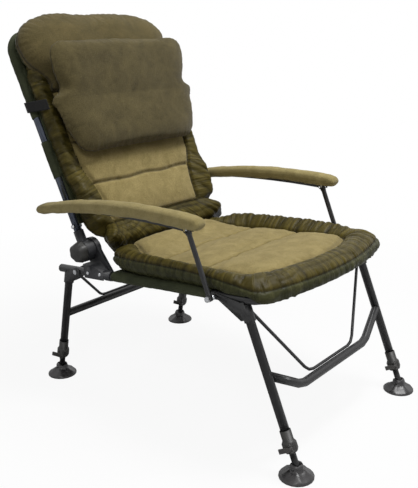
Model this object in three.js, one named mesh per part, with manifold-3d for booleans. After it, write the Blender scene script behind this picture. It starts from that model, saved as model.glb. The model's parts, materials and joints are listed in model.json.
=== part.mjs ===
// A reclining carp fishing chair: a padded seat on a tilted tube frame, a padded back
// on two locking hinges, two linked arm rests and two folding leg frames with
// adjustable feet. Millimetres, +Z up, the chair faces -Y and +X is the sitter's left.
import * as THREE from 'three';
import { mergeVertices } from 'three/addons/utils/BufferGeometryUtils.js';
import Module from 'manifold-3d';

const wasm = await Module();
wasm.setup();

// Layout of the whole chair
const frameWidth = 524; // between the centre lines of the side tubes
const seatHeight = 370.6; // rail centre line above the ground, under the seat's origin
const railTilt = 5.09; // degrees, the rails rise to the front
const backLean = 26; // degrees from upright
const hingeBehind = 268; // recline hinge along the rail from the seat's origin
const hingeAbove = 61; // recline hinge over the rail's centre line
const frontPivotAhead = 188; // front leg pivot along the rail
const rearPivotBehind = 304; // rear leg pivot along the rail
const frontSplay = 22.5; // degrees that the front legs lean out
const rearSplay = 12.2;
const frontLegOffset = 68; // leg centre line ahead of its pivot
const rearLegOffset = 39.3; // leg centre line behind its pivot

// Tubes and fits
const tubeRadius = 11;
const tubeWall = 1.5;
const touchGap = 0.3; // between pieces that touch
const runGap = 0.5; // between pieces that turn or slide
const overrun = 5; // how far a cutter passes the face it cuts
const tubeSides = 12;
const roundSides = 12;
const discSides = 20;
const holeSides = 8;
const hexSides = 6;
const spacerSides = 16;
const rodSides = 8;
const bendStep = 24; // degrees of a bend between two rings of a tube

// Seat frame
const railBehind = 377;
const railAhead = 304; // where the rail's line meets the front bar's
const frontBarAhead = 330;
const frontBarFlat = 120; // half length of the straight middle of the front bar
const seatBend = 40;
const plugDepth = 12;
const plugHead = 4;

// Back frame
const backHeight = 616; // hinge to the centre line of the top tube
const backBend = 55;
const postStart = 24;
const crossBoltHeight = 70;
const crossBoltHead = 5.5;
const armPivotHeight = 133;

// Recline hinge, from the middle of the chair outwards
const fixedDiscRadius = 32;
const fixedDiscThick = 15.6;
const movingDiscRadius = 29;
const knobLength = 24;
const knobBaseRadius = 30;
const knobTopRadius = 23;
const knobLobes = 6;
const knobLobeDepth = 2.6;
const studRadius = 5;
const studHeadRadius = 9;
const studHeadThick = 5;
const studInKnob = 14;
const socketHeight = 57;
const socketWall = 2.6;
const saddleRear = 267;
const saddleFront = 193;
const saddleTop = 27;
const saddleWall = 4;
const railCollarFront = 172;
const railCollarWall = 2.5;
const webRearTop = 22;
const webFrontTop = 4;

// Leg brackets and leg frames
const cheekThick = 2.5;
const eyeSweep = 115; // degrees of round edge over the pivot
const frontEye = 10.8;
const frontBelly = [-7, -10]; // corner of the lower edge, from the pivot along and up the leg
const frontWebFrom = -16; // where the web that joins the cheeks begins
const frontBracketEnd = 75;
const rearEye = 14;
const rearBelly = [3, -27];
const rearBracketEnd = 52;
const legCapBelow = 14; // solid top of the leg over its bore
const pivotBoltRadius = 4;
const pivotHeadRadius = 7;
const pivotHeadThick = 3.5;
const frontBarDrop = 203; // down the leg to the cross bar's ends
const frontBarDip = 62.6; // how far its middle lies below its ends
const frontBarMiddle = 154; // half length of the low middle
const crossBend = 48;
const rearBarDrop = 155;
const rodRadius = 4;
const rodBend = 40;
const frontRodAngle = 64; // where a rod lies against its cross bar, from the level behind it
const rearRodAngle = 24;
const frontRodTop = 36;
const frontRodMiddle = 104; // half length of the rod's middle
const rearRodTop = 11;
const rearRodAhead = 32; // its ends ahead of the leg's centre line
const rearRodMiddle = 114;

// Adjustable feet
const pinHeight = 25; // foot pin above the ground
const innerLegRadius = 9;
const innerLegInside = 150; // inner leg above the clamp
const stemRadius = 8;
const ballRadius = 9;
const collarAbovePin = 36; // bottom of the clamp
const collarHeight = 28;
const collarRadius = 17.5;
const sleeveHeight = 24;
const sleeveWall = 2.2;
const footRadius = 41.2;
const footRim = 3.2;
const footHubRadius = 17;
const footHubHeight = 33;
const footRidges = 5;
const footRidgeHeight = 4.5;
const footPinRadius = 2.6;
const footPinProud = 1.2;
const ballSteps = 4;
const footTilt = 20; // degrees each way
const footTiltRoom = 2; // degrees of clearance past it
const lockPinRadius = 2.2;
const lockPinOut = 22.5; // lever pin from the leg's centre line
const lockKnuckle = 5;
const lockKnuckleHeight = 11;
const lugHeight = 4;
const lugRootShare = 0.6; // how far a lug runs in towards the leg
const lockReach = 27;
const lockThick = 4;
const lockBearing = 218; // degrees round the leg where the lever pin stands
const lockSwing = 102; // degrees from there back to the closed lever

// Arm rests and their struts
const padBeyond = 34; // centre of the pad outside the side tube's centre line
const padWidth = 41;
const padHeight = 36;
const padFront = 499; // ahead of the arm pivot
const padRear = 80;
const padFrontRise = 29;
const padRearDrop = 19;
const padArch = 48; // height of the arch's control point over the pivot
const padEndLength = 20;
const padEndFlat = 1; // depth of the flat that closes each end
const channelBeyond = 32; // centre of the channel outside the side tube's centre line
const channelWidth = 14;
const channelWall = 2;
const channelHeight = 17;
const channelNose = 13; // channel past its end bolts
const strutLength = 165.3;
const strutLean = 22.5;
const strutDeep = 13;
const strutThick = 8;
const strutEye = 7.5;
const strutEdge = 1.5; // half the side of the cut along each edge
const strutEdgeStart = 4; // past the lower eye
const slotReach = 5; // how far the strut's bolt may wander along its slot
const slotRise = 3.2;
const slotBoltRadius = 3;

// Seat mattress, in the seat's own frame
const seatBeyond = 22; // side edge outside the side tube's centre line
const seatHemWithin = 8; // how far the hem's corners draw in from the side edge
const seatWaistWithin = 4;
const seatHemAhead = 315;
const seatBow = 54; // how far the middle of the front edge bows forward
const seatBowFrom = 90; // ahead of the seat's origin
const seatRear = 203;
const seatRearWithin = 38; // rear corners inside the side tube's centre line
const seatFleeceWithin = 51;
const seatFleeceRearWithin = 107;
const seatFleeceFront = 255;
const seatSeams = [-255, -108, 50, 203];
const seatFleeceHeight = 37;
const seatCrown = 9;
const seatNoseCrown = 12;
const seatTailLength = 24; // over which the rear edge rounds off
const seatRearRise = 26;
const seatRiseFrom = 95;
const seatRest = 0.8; // mattress over the sling
const seatSideMid = 34;
const seatBorderPuff = 36;
const seatBorderFrontPuff = 14;
const seatPuffFullFrom = 40; // behind the seat's origin
const seatHemHeight = 15;
const slingThick = 1.5;
const slingSag = 13;
const slingSagFrom = 120; // ahead of the seat's origin, where the full sag begins

// Back mattress, in the back's own frame: depths are ahead of the posts
const backBeyond = 6; // side edge outside the side tube's centre line
const backWaistWithin = 8; // and inside it lower down
const backFootWithin = 46;
const headBeyond = 20;
const backStart = 9;
const backEnd = 656;
const backCornerHeight = 100;
const backCornerWidth = 122;
const backFootRound = 22; // over which the lower end rounds off
const backTopRound = 32;
const backFootTop = 34;
const backWaistLow = 60;
const backWaistTop = 145;
const backFullFrom = 207;
const headFullFrom = 545;
const backFleeceWithin = 54;
const backSeams = [44, 163, 285, 400];
const backRearDepth = tubeRadius + runGap + slingThick + touchGap; // lies on the sling
const backFleeceDepth = 44;
const backCrown = 10;
const backSidePuff = 32;
const backSideMid = 36;
const headDepth = 99;
const headFrom = 400;
const headFull = 465;
const restDepth = 72; // the deepest that the lower mattress comes forward

// Head pillow
const pillowBottom = 236;
const pillowTop = 545;
const pillowBulge = 30;
const pillowGap = 2;
const pillowEdge = 1; // half the thickness of its edge
// its outline, wider at the strap: heights, and how far inside the side tube's centre line
const pillowInset = [[236, 112], [248, 60], [265, 38], [292, 18], [317, 7], [350, -5], [383, -15],
  [403, 4], [415, 12], [450, 7], [490, 7], [515, 17], [533, 40], [545, 82]];
// heights, and how far ahead of the posts its edge lies
const pillowDepth = [[236, 79], [385, 84], [430, 103], [480, 117], [530, 133], [545, 136]];
const strapLow = 398;
const strapHigh = 427;
const strapSlope = 0.3; // how fast it falls towards the front
const strapThick = 2;
const strapAhead = 84;

// Fabric sleeves round the tubes
const sleeveCloth = 1.4;
const seatSleeveRear = 165;
const seatSleeveFront = 172;
const backSleeveLow = 212;
const backSleeveTop = 309;
const headSleeveLow = 383;

const halfFrame = frameWidth / 2;
const armSpread = halfFrame + padBeyond;
const channelSpread = halfFrame + channelBeyond;
const seatHalfWidth = halfFrame + seatBeyond;
const seatRearHalfWidth = halfFrame - seatRearWithin;
const seatFleeceHalfWidth = halfFrame - seatFleeceWithin;
const seatFleeceRearHalfWidth = halfFrame - seatFleeceRearWithin;
const backHalfWidth = halfFrame + backBeyond;
const backWaistHalfWidth = halfFrame - backWaistWithin;
const backFootHalfWidth = halfFrame - backFootWithin;
const headHalfWidth = halfFrame + headBeyond;
const backFleeceHalfWidth = halfFrame - backFleeceWithin;
const boreRadius = tubeRadius - tubeWall;
const tubeFit = tubeRadius + touchGap;
const strapBehind = tubeFit + sleeveCloth + touchGap + strapThick;
const strapHalfWidth = halfFrame + strapBehind;
const cheekInner = tubeRadius + runGap;
const cheekOuter = cheekInner + cheekThick;
const movingDiscInner = halfFrame - tubeFit - socketWall;
const movingDiscOuter = halfFrame + tubeFit + socketWall;
const fixedDiscInner = movingDiscInner - runGap - fixedDiscThick;
const rad = THREE.MathUtils.degToRad;
const { smoothstep, lerp, clamp } = THREE.MathUtils;

// Solids: closed geometries joined and cut as exact bodies

function toSolid(geometry) {
  const bare = geometry.clone();
  bare.deleteAttribute('normal');
  bare.deleteAttribute('uv');
  const welded = mergeVertices(bare, touchGap / 300);
  return new wasm.Manifold(new wasm.Mesh({
    numProp: 3,
    vertProperties: welded.attributes.position.array,
    triVerts: new Uint32Array(welded.index.array),
  }));
}

function toGeometry(solid) {
  const { vertProperties, triVerts } = solid.getMesh();
  const geometry = new THREE.BufferGeometry();
  geometry.setAttribute('position', new THREE.BufferAttribute(new Float32Array(vertProperties), 3));
  geometry.setIndex(new THREE.BufferAttribute(new Uint32Array(triVerts), 1));
  geometry.computeVertexNormals();
  return geometry;
}

function join(...geometries) {
  return toGeometry(geometries.map(toSolid).reduce((whole, part) => whole.add(part)));
}

function cut(geometry, ...cutters) {
  return toGeometry(cutters.map(toSolid).reduce((whole, part) => whole.subtract(part), toSolid(geometry)));
}

function moved(geometry, x, y, z) {
  return geometry.clone().translate(x, y, z);
}

// The same triangles with their other side out
function turnedOver(index) {
  return Array.from(index, (unused, i) => index[i % 3 === 0 ? i + 1 : i - (i % 3 === 1)]);
}

function mirrored(geometry) {
  const copy = geometry.clone().scale(-1, 1, 1);
  copy.setIndex(turnedOver(copy.index.array));
  copy.computeVertexNormals();
  return copy;
}

// Shapes

// A round bar along one axis; `at` holds its place on the other two, in x, y, z order
function bar(axis, radius, from, to, at = [0, 0], sides = roundSides) {
  const geometry = new THREE.CylinderGeometry(radius, radius, to - from, sides);
  const middle = (from + to) / 2;
  if (axis === 'x') return geometry.rotateZ(-Math.PI / 2).translate(middle, at[0], at[1]);
  if (axis === 'y') return geometry.translate(at[0], middle, at[1]);
  return geometry.rotateX(Math.PI / 2).translate(at[0], at[1], middle);
}

// A cutter for the hole of a round pin: its flats stay clear of the pin as it turns
function bore(axis, pinRadius, from, to, at = [0, 0]) {
  const radius = (pinRadius + touchGap) / Math.cos(Math.PI / holeSides);
  return bar(axis, radius, from - overrun, to + overrun, at, holeSides);
}

function block(x0, x1, y0, y1, z0, z1) {
  const geometry = new THREE.BoxGeometry(x1 - x0, y1 - y0, z1 - z0);
  return geometry.translate((x0 + x1) / 2, (y0 + y1) / 2, (z0 + z1) / 2);
}

// A plate whose outline is drawn in the y-z plane
function plate(shape, x0, x1, curveSegments = 6) {
  const geometry = new THREE.ExtrudeGeometry(shape, { depth: x1 - x0, bevelEnabled: false, curveSegments });
  const side = new THREE.Matrix4().makeBasis(
    new THREE.Vector3(0, 1, 0), new THREE.Vector3(0, 0, 1), new THREE.Vector3(1, 0, 0));
  return geometry.applyMatrix4(side).translate(x0, 0, 0);
}

function outline(points) {
  return new THREE.Shape(points.map(([y, z]) => new THREE.Vector2(y, z)));
}

// A path through corner points with a round bend at each inner corner. Its stations are
// the bends' steps and the ends of the straights, so straights take no extra rings.
class BentPath extends THREE.Curve {
  constructor(corners, bend) {
    super();
    const points = corners.map((corner) => new THREE.Vector3(...corner));
    const along = (a, b) => b.clone().sub(a).normalize();
    this.stations = [[points[0], along(points[0], points[1])]];
    for (let i = 1; i < points.length - 1; i += 1) {
      const before = along(points[i - 1], points[i]);
      const after = along(points[i], points[i + 1]);
      const turn = before.angleTo(after);
      const start = points[i].clone().addScaledVector(before, -bend * Math.tan(turn / 2));
      const inward = after.clone().addScaledVector(before, -before.dot(after)).normalize();
      const steps = Math.max(1, Math.round(turn / rad(bendStep)));
      for (let step = 0; step <= steps; step += 1) {
        const angle = (turn * step) / steps;
        const at = start.clone().addScaledVector(before, bend * Math.sin(angle));
        at.addScaledVector(inward, bend * (1 - Math.cos(angle)));
        const heading = before.clone().multiplyScalar(Math.cos(angle));
        this.stations.push([at, heading.addScaledVector(inward, Math.sin(angle))]);
      }
    }
    this.stations.push([points.at(-1), along(points.at(-2), points.at(-1))]);
  }

  get steps() {
    return this.stations.length - 1;
  }

  getPoint(t) {
    const place = t * this.steps;
    const first = Math.min(Math.floor(place), this.steps - 1);
    return this.stations[first][0].clone().lerp(this.stations[first + 1][0], place - first);
  }

  getTangent(t) {
    return this.stations[Math.round(t * this.steps)][1].clone();
  }

  getPointAt(u) {
    return this.getPoint(u);
  }

  getTangentAt(u) {
    return this.getTangent(u);
  }
}

// A tube along a bent path, hollow where an inner radius is given
function bentTube(path, radius, innerRadius = 0, sides = tubeSides) {
  const section = new THREE.Shape().absarc(0, 0, radius, 0, Math.PI * 2);
  if (innerRadius) section.holes.push(new THREE.Path().absarc(0, 0, innerRadius, 0, Math.PI * 2));
  return new THREE.ExtrudeGeometry(section, {
    extrudePath: path, steps: path.steps, bevelEnabled: false, curveSegments: sides / 2,
  });
}

// A closed skin over rings of points, with a flat face over the first and last ring
function skin(rings) {
  const count = rings[0].length;
  const positions = rings.flat().flatMap((point) => [point.x, point.y, point.z]);
  const index = [];
  for (let r = 0; r < rings.length - 1; r += 1) {
    for (let i = 0; i < count; i += 1) {
      const [a, b] = [r * count + i, r * count + ((i + 1) % count)];
      index.push(a, b, b + count, a, b + count, a + count);
    }
  }
  for (const [first, flip] of [[0, true], [(rings.length - 1) * count, false]]) {
    const centre = rings[first / count].reduce((sum, p) => sum.add(p), new THREE.Vector3());
    centre.divideScalar(count);
    positions.push(centre.x, centre.y, centre.z);
    const tip = positions.length / 3 - 1;
    for (let i = 0; i < count; i += 1) {
      const [a, b] = [first + i, first + ((i + 1) % count)];
      index.push(tip, flip ? b : a, flip ? a : b);
    }
  }
  const geometry = new THREE.BufferGeometry();
  geometry.setAttribute('position', new THREE.Float32BufferAttribute(positions, 3));
  geometry.setIndex(index);
  let volume = 0;
  const corner = [new THREE.Vector3(), new THREE.Vector3(), new THREE.Vector3()];
  for (let i = 0; i < index.length; i += 3) {
    corner.forEach((v, k) => v.fromBufferAttribute(geometry.attributes.position, index[i + k]));
    volume += corner[0].dot(corner[1].clone().cross(corner[2]));
  }
  if (volume < 0) geometry.setIndex(turnedOver(index));
  geometry.computeVertexNormals();
  return geometry;
}

// Materials

const finishes = {
  frame: { color: '#35353a', roughness: 0.5, metalness: 0.6 },
  plastic: { color: '#1d1c1e', roughness: 0.45, metalness: 0 },
  bright: { color: '#c9cbd0', roughness: 0.25, metalness: 1 },
  fleece: { color: '#8d8057', roughness: 0.95, metalness: 0 },
  pillow: { color: '#5a5038', roughness: 0.95, metalness: 0 },
  cloth: { color: '#3c4128', roughness: 0.8, metalness: 0 },
  strap: { color: '#1c1a1a', roughness: 0.9, metalness: 0 },
};

function addMesh(parent, name, geometry, finish) {
  const mesh = new THREE.Mesh(geometry, new THREE.MeshStandardMaterial(finishes[finish]));
  mesh.name = name;
  parent.add(mesh);
  return mesh;
}

// The same piece on both sides, drawn for the sitter's left and mirrored for the right
function addPair(parent, name, geometry, finish) {
  addMesh(parent, `${name}_left`, geometry, finish);
  addMesh(parent, `${name}_right`, mirrored(geometry), finish);
}

function addFrame(parent, y, z, degrees) {
  const frame = new THREE.Group();
  frame.position.set(0, y, z);
  frame.rotation.x = rad(degrees);
  parent.add(frame);
  return frame;
}

const chair = new THREE.Group();
const seat = addFrame(chair, 0, seatHeight, -railTilt);
const back = addFrame(seat, hingeBehind, hingeAbove, railTilt - backLean);
const arms = addFrame(back, 0, armPivotHeight, backLean);
const struts = addFrame(seat, -frontPivotAhead, 0, railTilt - strutLean);
const frontLegs = addFrame(seat, -frontPivotAhead, 0, railTilt - frontSplay);
const rearLegs = addFrame(seat, rearPivotBehind, 0, railTilt + rearSplay);

const slingShares = [-1, -0.72, -0.48, -0.24, 0, 0.24, 0.48, 0.72, 1];

// Seat frame: one tube bent round three sides, open and plugged at its rear ends

const seatPath = new BentPath([
  [-halfFrame, railBehind, 0],
  [-halfFrame, -railAhead, 0],
  [-frontBarFlat, -frontBarAhead, 0],
  [frontBarFlat, -frontBarAhead, 0],
  [halfFrame, -railAhead, 0],
  [halfFrame, railBehind, 0],
], seatBend);

function seatFrame() {
  const bores = [];
  for (const x of [-halfFrame, halfFrame]) {
    const depth = railBehind - plugDepth - overrun;
    bores.push(bar('y', boreRadius, depth, railBehind + overrun, [x, 0], tubeSides));
    for (const y of [rearPivotBehind, -frontPivotAhead]) {
      bores.push(bore('x', pivotBoltRadius, x - tubeRadius, x + tubeRadius, [y, 0]));
    }
  }
  return cut(bentTube(seatPath, tubeRadius), ...bores);
}

function endCap() {
  const at = [halfFrame, 0];
  const head = bar('y', tubeRadius, railBehind + touchGap, railBehind + plugHead, at, tubeSides);
  const plugEnds = [railBehind - plugDepth, railBehind + plugHead / 2];
  return join(head, bar('y', boreRadius - touchGap, ...plugEnds, at, tubeSides));
}

// Underside of the sling that carries the seat mattress
function slingLevel(x, y) {
  const across = (1 + Math.cos(Math.PI * Math.min(1, Math.abs(x) / halfFrame))) / 2;
  const along = clamp((frontBarAhead + y) / (frontBarAhead - slingSagFrom), 0, 1);
  return tubeRadius + runGap - slingSag * across * along;
}

// A fabric sheet with sleeves that wrap the tubes which stretch it
function seatSling() {
  const ys = [-frontBarAhead, -railAhead + seatBend, -0.7 * railAhead, -slingSagFrom, seatSleeveRear];
  const rings = ys.map((y, row) => {
    const reach = row === 0 ? frontBarFlat : halfFrame;
    const across = slingShares.map((share) => {
      const x = share * reach;
      return new THREE.Vector3(x, y, slingLevel(x, y));
    });
    const over = across.map((p) => p.clone().setZ(p.z + slingThick)).reverse();
    return [...across, ...over];
  });
  const sleeves = [-1, 1].map((side) => bentTube(new BentPath([
    [side * halfFrame, -seatSleeveFront, 0], [side * halfFrame, seatSleeveRear, 0]], 0),
  tubeFit + sleeveCloth, tubeFit));
  const front = bentTube(new BentPath([
    [-frontBarFlat * 0.8, -frontBarAhead, 0], [frontBarFlat * 0.8, -frontBarAhead, 0]], 0),
  tubeFit + sleeveCloth, tubeFit);
  return join(skin(rings), ...sleeves, front);
}

// Recline hinge: a fixed disc on a saddle over the rail, a moving disc with the post's
// socket, a stud through both and a lobed knob that clamps them

function hingePlate() {
  const [innerFace, outerFace] = [fixedDiscInner, fixedDiscInner + fixedDiscThick];
  const disc = bar('x', fixedDiscRadius, innerFace, outerFace, [hingeBehind, hingeAbove], discSides);
  const web = plate(outline([
    [saddleRear, -tubeRadius],
    [saddleRear, webRearTop],
    [hingeBehind + fixedDiscRadius * 0.9, hingeAbove - fixedDiscRadius * 0.4],
    [hingeBehind - fixedDiscRadius * 0.95, hingeAbove + fixedDiscRadius * 0.3],
    [saddleFront, webFrontTop],
    [saddleFront, -tubeRadius],
  ]), innerFace + saddleWall, outerFace);
  const outer = halfFrame + tubeFit + saddleWall;
  const saddle = plate(outline([
    [saddleRear, -tubeRadius],
    [saddleRear, webRearTop],
    [hingeBehind, saddleTop],
    [lerp(saddleFront, hingeBehind, 0.35), saddleTop * 0.8],
    [saddleFront, webFrontTop],
    [saddleFront, -tubeRadius],
  ]), halfFrame - tubeFit - saddleWall, outer);
  const collar = bar('y', tubeFit + railCollarWall, railCollarFront, saddleFront + overrun, [halfFrame, 0]);
  const railEnds = [railCollarFront - overrun, saddleRear + overrun];
  const rail = bar('y', tubeFit, ...railEnds, [halfFrame, 0], tubeSides);
  const mouth = block(halfFrame - tubeFit, halfFrame + tubeFit, saddleFront, saddleRear + overrun,
    -tubeRadius - overrun, 0);
  const hole = bore('x', studRadius, innerFace, outerFace, [hingeBehind, hingeAbove]);
  return cut(join(disc, web, saddle, collar), rail, mouth, hole);
}

function backSocket() {
  const disc = bar('x', movingDiscRadius, movingDiscInner, movingDiscOuter, [0, 0], discSides);
  const socket = bar('z', tubeFit + socketWall, 0, socketHeight, [halfFrame, 0]);
  const post = bar('z', tubeFit, postStart - touchGap, socketHeight + overrun, [halfFrame, 0], tubeSides);
  return cut(join(disc, socket), post, bore('x', studRadius, movingDiscInner, movingDiscOuter));
}

function reclineStud() {
  const at = [hingeBehind, hingeAbove];
  const seat = fixedDiscInner - touchGap;
  const shank = bar('x', studRadius, seat - studHeadThick / 2, movingDiscOuter + studInKnob, at, holeSides);
  const head = bar('x', studHeadRadius, seat - studHeadThick, seat, at, hexSides);
  return join(shank, head);
}

function reclineKnob() {
  const inner = movingDiscOuter + runGap;
  const bodyShares = [0, 0.12, 0.55, 0.86, 1];
  const radiusShares = [0.93, 1, 0.55, 0.18, 0];
  const rings = bodyShares.map((share, k) => {
    const radius = lerp(knobTopRadius, knobBaseRadius, radiusShares[k]) - (k === 4 ? knobLobeDepth : 0);
    return Array.from({ length: knobLobes * 5 }, (unused, i) => {
      const angle = (i / (knobLobes * 5)) * Math.PI * 2;
      const lobe = knobLobeDepth * Math.abs(Math.cos((angle * knobLobes) / 2)) ** 3;
      const r = radius - lobe;
      return new THREE.Vector3(inner + share * knobLength, hingeBehind + r * Math.cos(angle),
        hingeAbove + r * Math.sin(angle));
    });
  });
  const holeEnd = movingDiscOuter + studInKnob + runGap - overrun;
  const hole = bore('x', studRadius, inner, holeEnd, [hingeBehind, hingeAbove]);
  return cut(skin(rings), hole);
}

// Back frame: an upside-down U of the same tube, standing in the two sockets

const backPath = new BentPath([
  [-halfFrame, 0, postStart],
  [-halfFrame, 0, backHeight],
  [halfFrame, 0, backHeight],
  [halfFrame, 0, postStart],
], backBend);

function boltAcross(radius, x0, x1, heads) {
  return join(bar('x', radius, x0, x1, [0, 0], holeSides),
    ...heads.map(([headRadius, from, to, sides]) => bar('x', headRadius, from, to, [0, 0], sides)));
}

function backFrame() {
  const holes = [];
  for (const x of [-halfFrame, halfFrame]) {
    for (const z of [crossBoltHeight, armPivotHeight]) {
      holes.push(bore('x', pivotBoltRadius, x - tubeRadius, x + tubeRadius, [0, z]));
    }
  }
  return cut(bentTube(backPath, tubeRadius), ...holes);
}

function crossBolt() {
  const [inner, outer] = [halfFrame - tubeRadius - touchGap, halfFrame + tubeRadius + touchGap];
  return boltAcross(pivotBoltRadius, inner - pivotHeadThick, outer + pivotHeadThick, [
    [crossBoltHead, inner - pivotHeadThick, inner, hexSides],
    [crossBoltHead, outer, outer + pivotHeadThick, roundSides]]).translate(0, 0, crossBoltHeight);
}

function backSling() {
  const front = -tubeRadius - runGap;
  const sheet = (low, high) => block(-halfFrame, halfFrame, front - slingThick, front, low, high);
  const sleevePath = new BentPath([
    [-halfFrame, 0, headSleeveLow], [-halfFrame, 0, backHeight],
    [halfFrame, 0, backHeight], [halfFrame, 0, headSleeveLow]], backBend);
  const head = bentTube(sleevePath, tubeFit + sleeveCloth, tubeFit);
  const sides = [-1, 1].map((side) => bentTube(new BentPath([
    [side * halfFrame, 0, backSleeveLow], [side * halfFrame, 0, backSleeveTop]], 0),
  tubeFit + sleeveCloth, tubeFit));
  return join(sheet(backSleeveLow / 3, backHeight - backBend), head, ...sides);
}

// Arm rests: a padded arched channel on each side, pivoted on the post and carried at
// its front by a strut whose bolt runs in a slot

function place(frame, x, y, z) {
  chair.updateMatrixWorld(true);
  return frame.localToWorld(new THREE.Vector3(x, y, z));
}

const slotAt = arms.worldToLocal(place(struts, 0, 0, strutLength));
const padCurve = new THREE.QuadraticBezierCurve3(
  new THREE.Vector3(0, -padFront, padFrontRise),
  new THREE.Vector3(0, (padRear - padFront) / 2, padArch),
  new THREE.Vector3(0, padRear, -padRearDrop));

function armPad() {
  const rings = [];
  const stations = 14;
  const length = padFront + padRear;
  for (let step = 0; step <= stations; step += 1) {
    // stations crowd towards both ends, where the pad rounds off
    const t = (1 - Math.cos((Math.PI * step) / stations)) / 2;
    const middle = padCurve.getPoint(t);
    const fromEnd = Math.min(t, 1 - t) * length;
    const roundness = Math.sqrt(1 - (1 - Math.min(1, (fromEnd + padEndFlat) / padEndLength)) ** 2);
    const slim = t > 0.5 ? lerp(1, 0.82, (t - 0.5) * 2) : 1;
    rings.push(Array.from({ length: 12 }, (unused, i) => {
      const angle = (i / 12) * Math.PI * 2;
      const squash = (value) => Math.sign(value) * Math.abs(value) ** 0.7;
      return new THREE.Vector3(
        armSpread + (padWidth / 2) * squash(Math.cos(angle)) * (0.6 + 0.4 * roundness),
        middle.y,
        middle.z + (padHeight / 2) * squash(Math.sin(angle)) * roundness * slim);
    }));
  }
  const reach = channelWidth / 2 + touchGap;
  const [inner, outer] = [channelSpread - reach, channelSpread + reach];
  const room = plate(channelOutline(touchGap), inner, outer);
  const swing = strutDeep + strutEye;
  const mouth = block(inner, outer, slotAt.y - swing, slotAt.y + swing * 0.8,
    slotAt.z - padHeight, slotAt.z);
  const boltEnd = outer + pivotHeadThick + runGap;
  const bolt = bar('x', pivotHeadRadius + runGap, halfFrame, boltEnd, [0, 0], spacerSides);
  return cut(skin(rings), room, mouth, bolt);
}

function channelOutline(grow) {
  const front = slotAt.y - channelNose - grow;
  const rear = channelNose + grow;
  const rise = channelHeight / 2 + grow;
  const middle = (y) => {
    const share = (y - slotAt.y) / (0 - slotAt.y);
    return lerp(slotAt.z + channelHeight / 4, 0, share) + padHeight * 0.9 * share * (1 - share);
  };
  const ys = Array.from({ length: 9 }, (unused, i) => lerp(front, rear, i / 8));
  const under = ys.map((y) => [y, middle(y) - rise]);
  return outline([...under, ...ys.reverse().map((y) => [y, middle(y) + rise])]);
}

function armChannel() {
  const [inner, outer] = [channelSpread - channelWidth / 2, channelSpread + channelWidth / 2];
  const body = plate(channelOutline(0), inner, outer);
  const inside = [inner + channelWall, outer - channelWall];
  const hollow = plate(channelOutline(0), ...inside).translate(0, 0, -channelWall);
  const ends = [slotAt.y - channelNose, channelNose].map((y) => block(...inside,
    y - channelWall, y + channelWall, -padHeight, padHeight * 2));
  const slot = new THREE.Shape();
  const [reach, rise] = [slotReach + slotBoltRadius, slotRise + slotBoltRadius];
  slot.moveTo(slotAt.y - reach, slotAt.z - rise * 0.5);
  for (const [y, z] of [[-0.5, -1], [0.5, -1], [1, -0.5], [1, 0.5], [0.5, 1], [-0.5, 1], [-1, 0.5]]) {
    slot.lineTo(slotAt.y + reach * y, slotAt.z + rise * z);
  }
  const lug = bar('x', rise + channelWall * 1.5, inner, outer, [slotAt.y, slotAt.z], spacerSides);
  const lugRoom = bar('x', rise + channelWall * 2.5, ...inside, [slotAt.y, slotAt.z], spacerSides);
  return cut(join(body, lug), hollow, ...ends, lugRoom, plate(slot, inner - overrun, outer + overrun),
    bore('x', pivotBoltRadius, inner, outer));
}

function armBolt() {
  const inner = halfFrame - tubeRadius - touchGap;
  const spacer = [halfFrame + tubeRadius + touchGap, channelSpread - channelWidth / 2 - touchGap];
  const outer = channelSpread + channelWidth / 2 + touchGap;
  return boltAcross(pivotBoltRadius, inner - pivotHeadThick, outer + pivotHeadThick, [
    [pivotHeadRadius, inner - pivotHeadThick, inner, roundSides],
    [pivotHeadRadius - runGap, ...spacer, spacerSides],
    [pivotHeadRadius - runGap, outer, outer + pivotHeadThick, hexSides]]).translate(0, 0, armPivotHeight);
}

// Struts: flat-oval tube with an eye at each end, in their own frame at the lower bolt

function strut() {
  const [x0, x1] = [channelSpread - strutThick / 2, channelSpread + strutThick / 2];
  const shape = new THREE.Shape();
  shape.absarc(0, 0, strutEye, Math.PI + 0.5, Math.PI * 2 - 0.5);
  shape.lineTo(strutDeep / 2, strutEye);
  shape.lineTo(strutDeep / 2, strutLength);
  shape.absarc(0, strutLength, strutDeep / 2, 0, Math.PI);
  shape.lineTo(-strutDeep / 2, strutEye);
  const body = plate(shape, x0, x1);
  const edges = [];
  for (const [y, turn] of [[-strutDeep / 2, 1], [strutDeep / 2, -1]]) {
    for (const x of [x0, x1]) {
      const edge = block(-strutEdge, strutEdge, -strutEdge, strutEdge,
        strutEye + strutEdgeStart, strutLength - strutDeep);
      edges.push(edge.rotateZ(Math.PI / 4 * turn).translate(x, y, 0));
    }
  }
  return cut(body, ...edges,
    bore('x', pivotBoltRadius, x0, x1),
    bore('x', slotBoltRadius, x0, x1, [0, strutLength]));
}

function strutBolt() {
  const half = channelWidth / 2 - channelWall / 2;
  return boltAcross(slotBoltRadius, channelSpread - half, channelSpread + half, [])
    .translate(0, 0, strutLength);
}

// Pivot bolts of the legs; the front one carries the strut as well

function rearPivotBolt() {
  const [inner, outer] = [halfFrame - cheekOuter - touchGap, halfFrame + cheekOuter + touchGap];
  return boltAcross(pivotBoltRadius, inner - pivotHeadThick, outer + pivotHeadThick, [
    [pivotHeadRadius - runGap, inner - pivotHeadThick, inner, hexSides],
    [pivotHeadRadius, outer, outer + pivotHeadThick, roundSides]]).translate(0, rearPivotBehind, 0);
}

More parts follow.
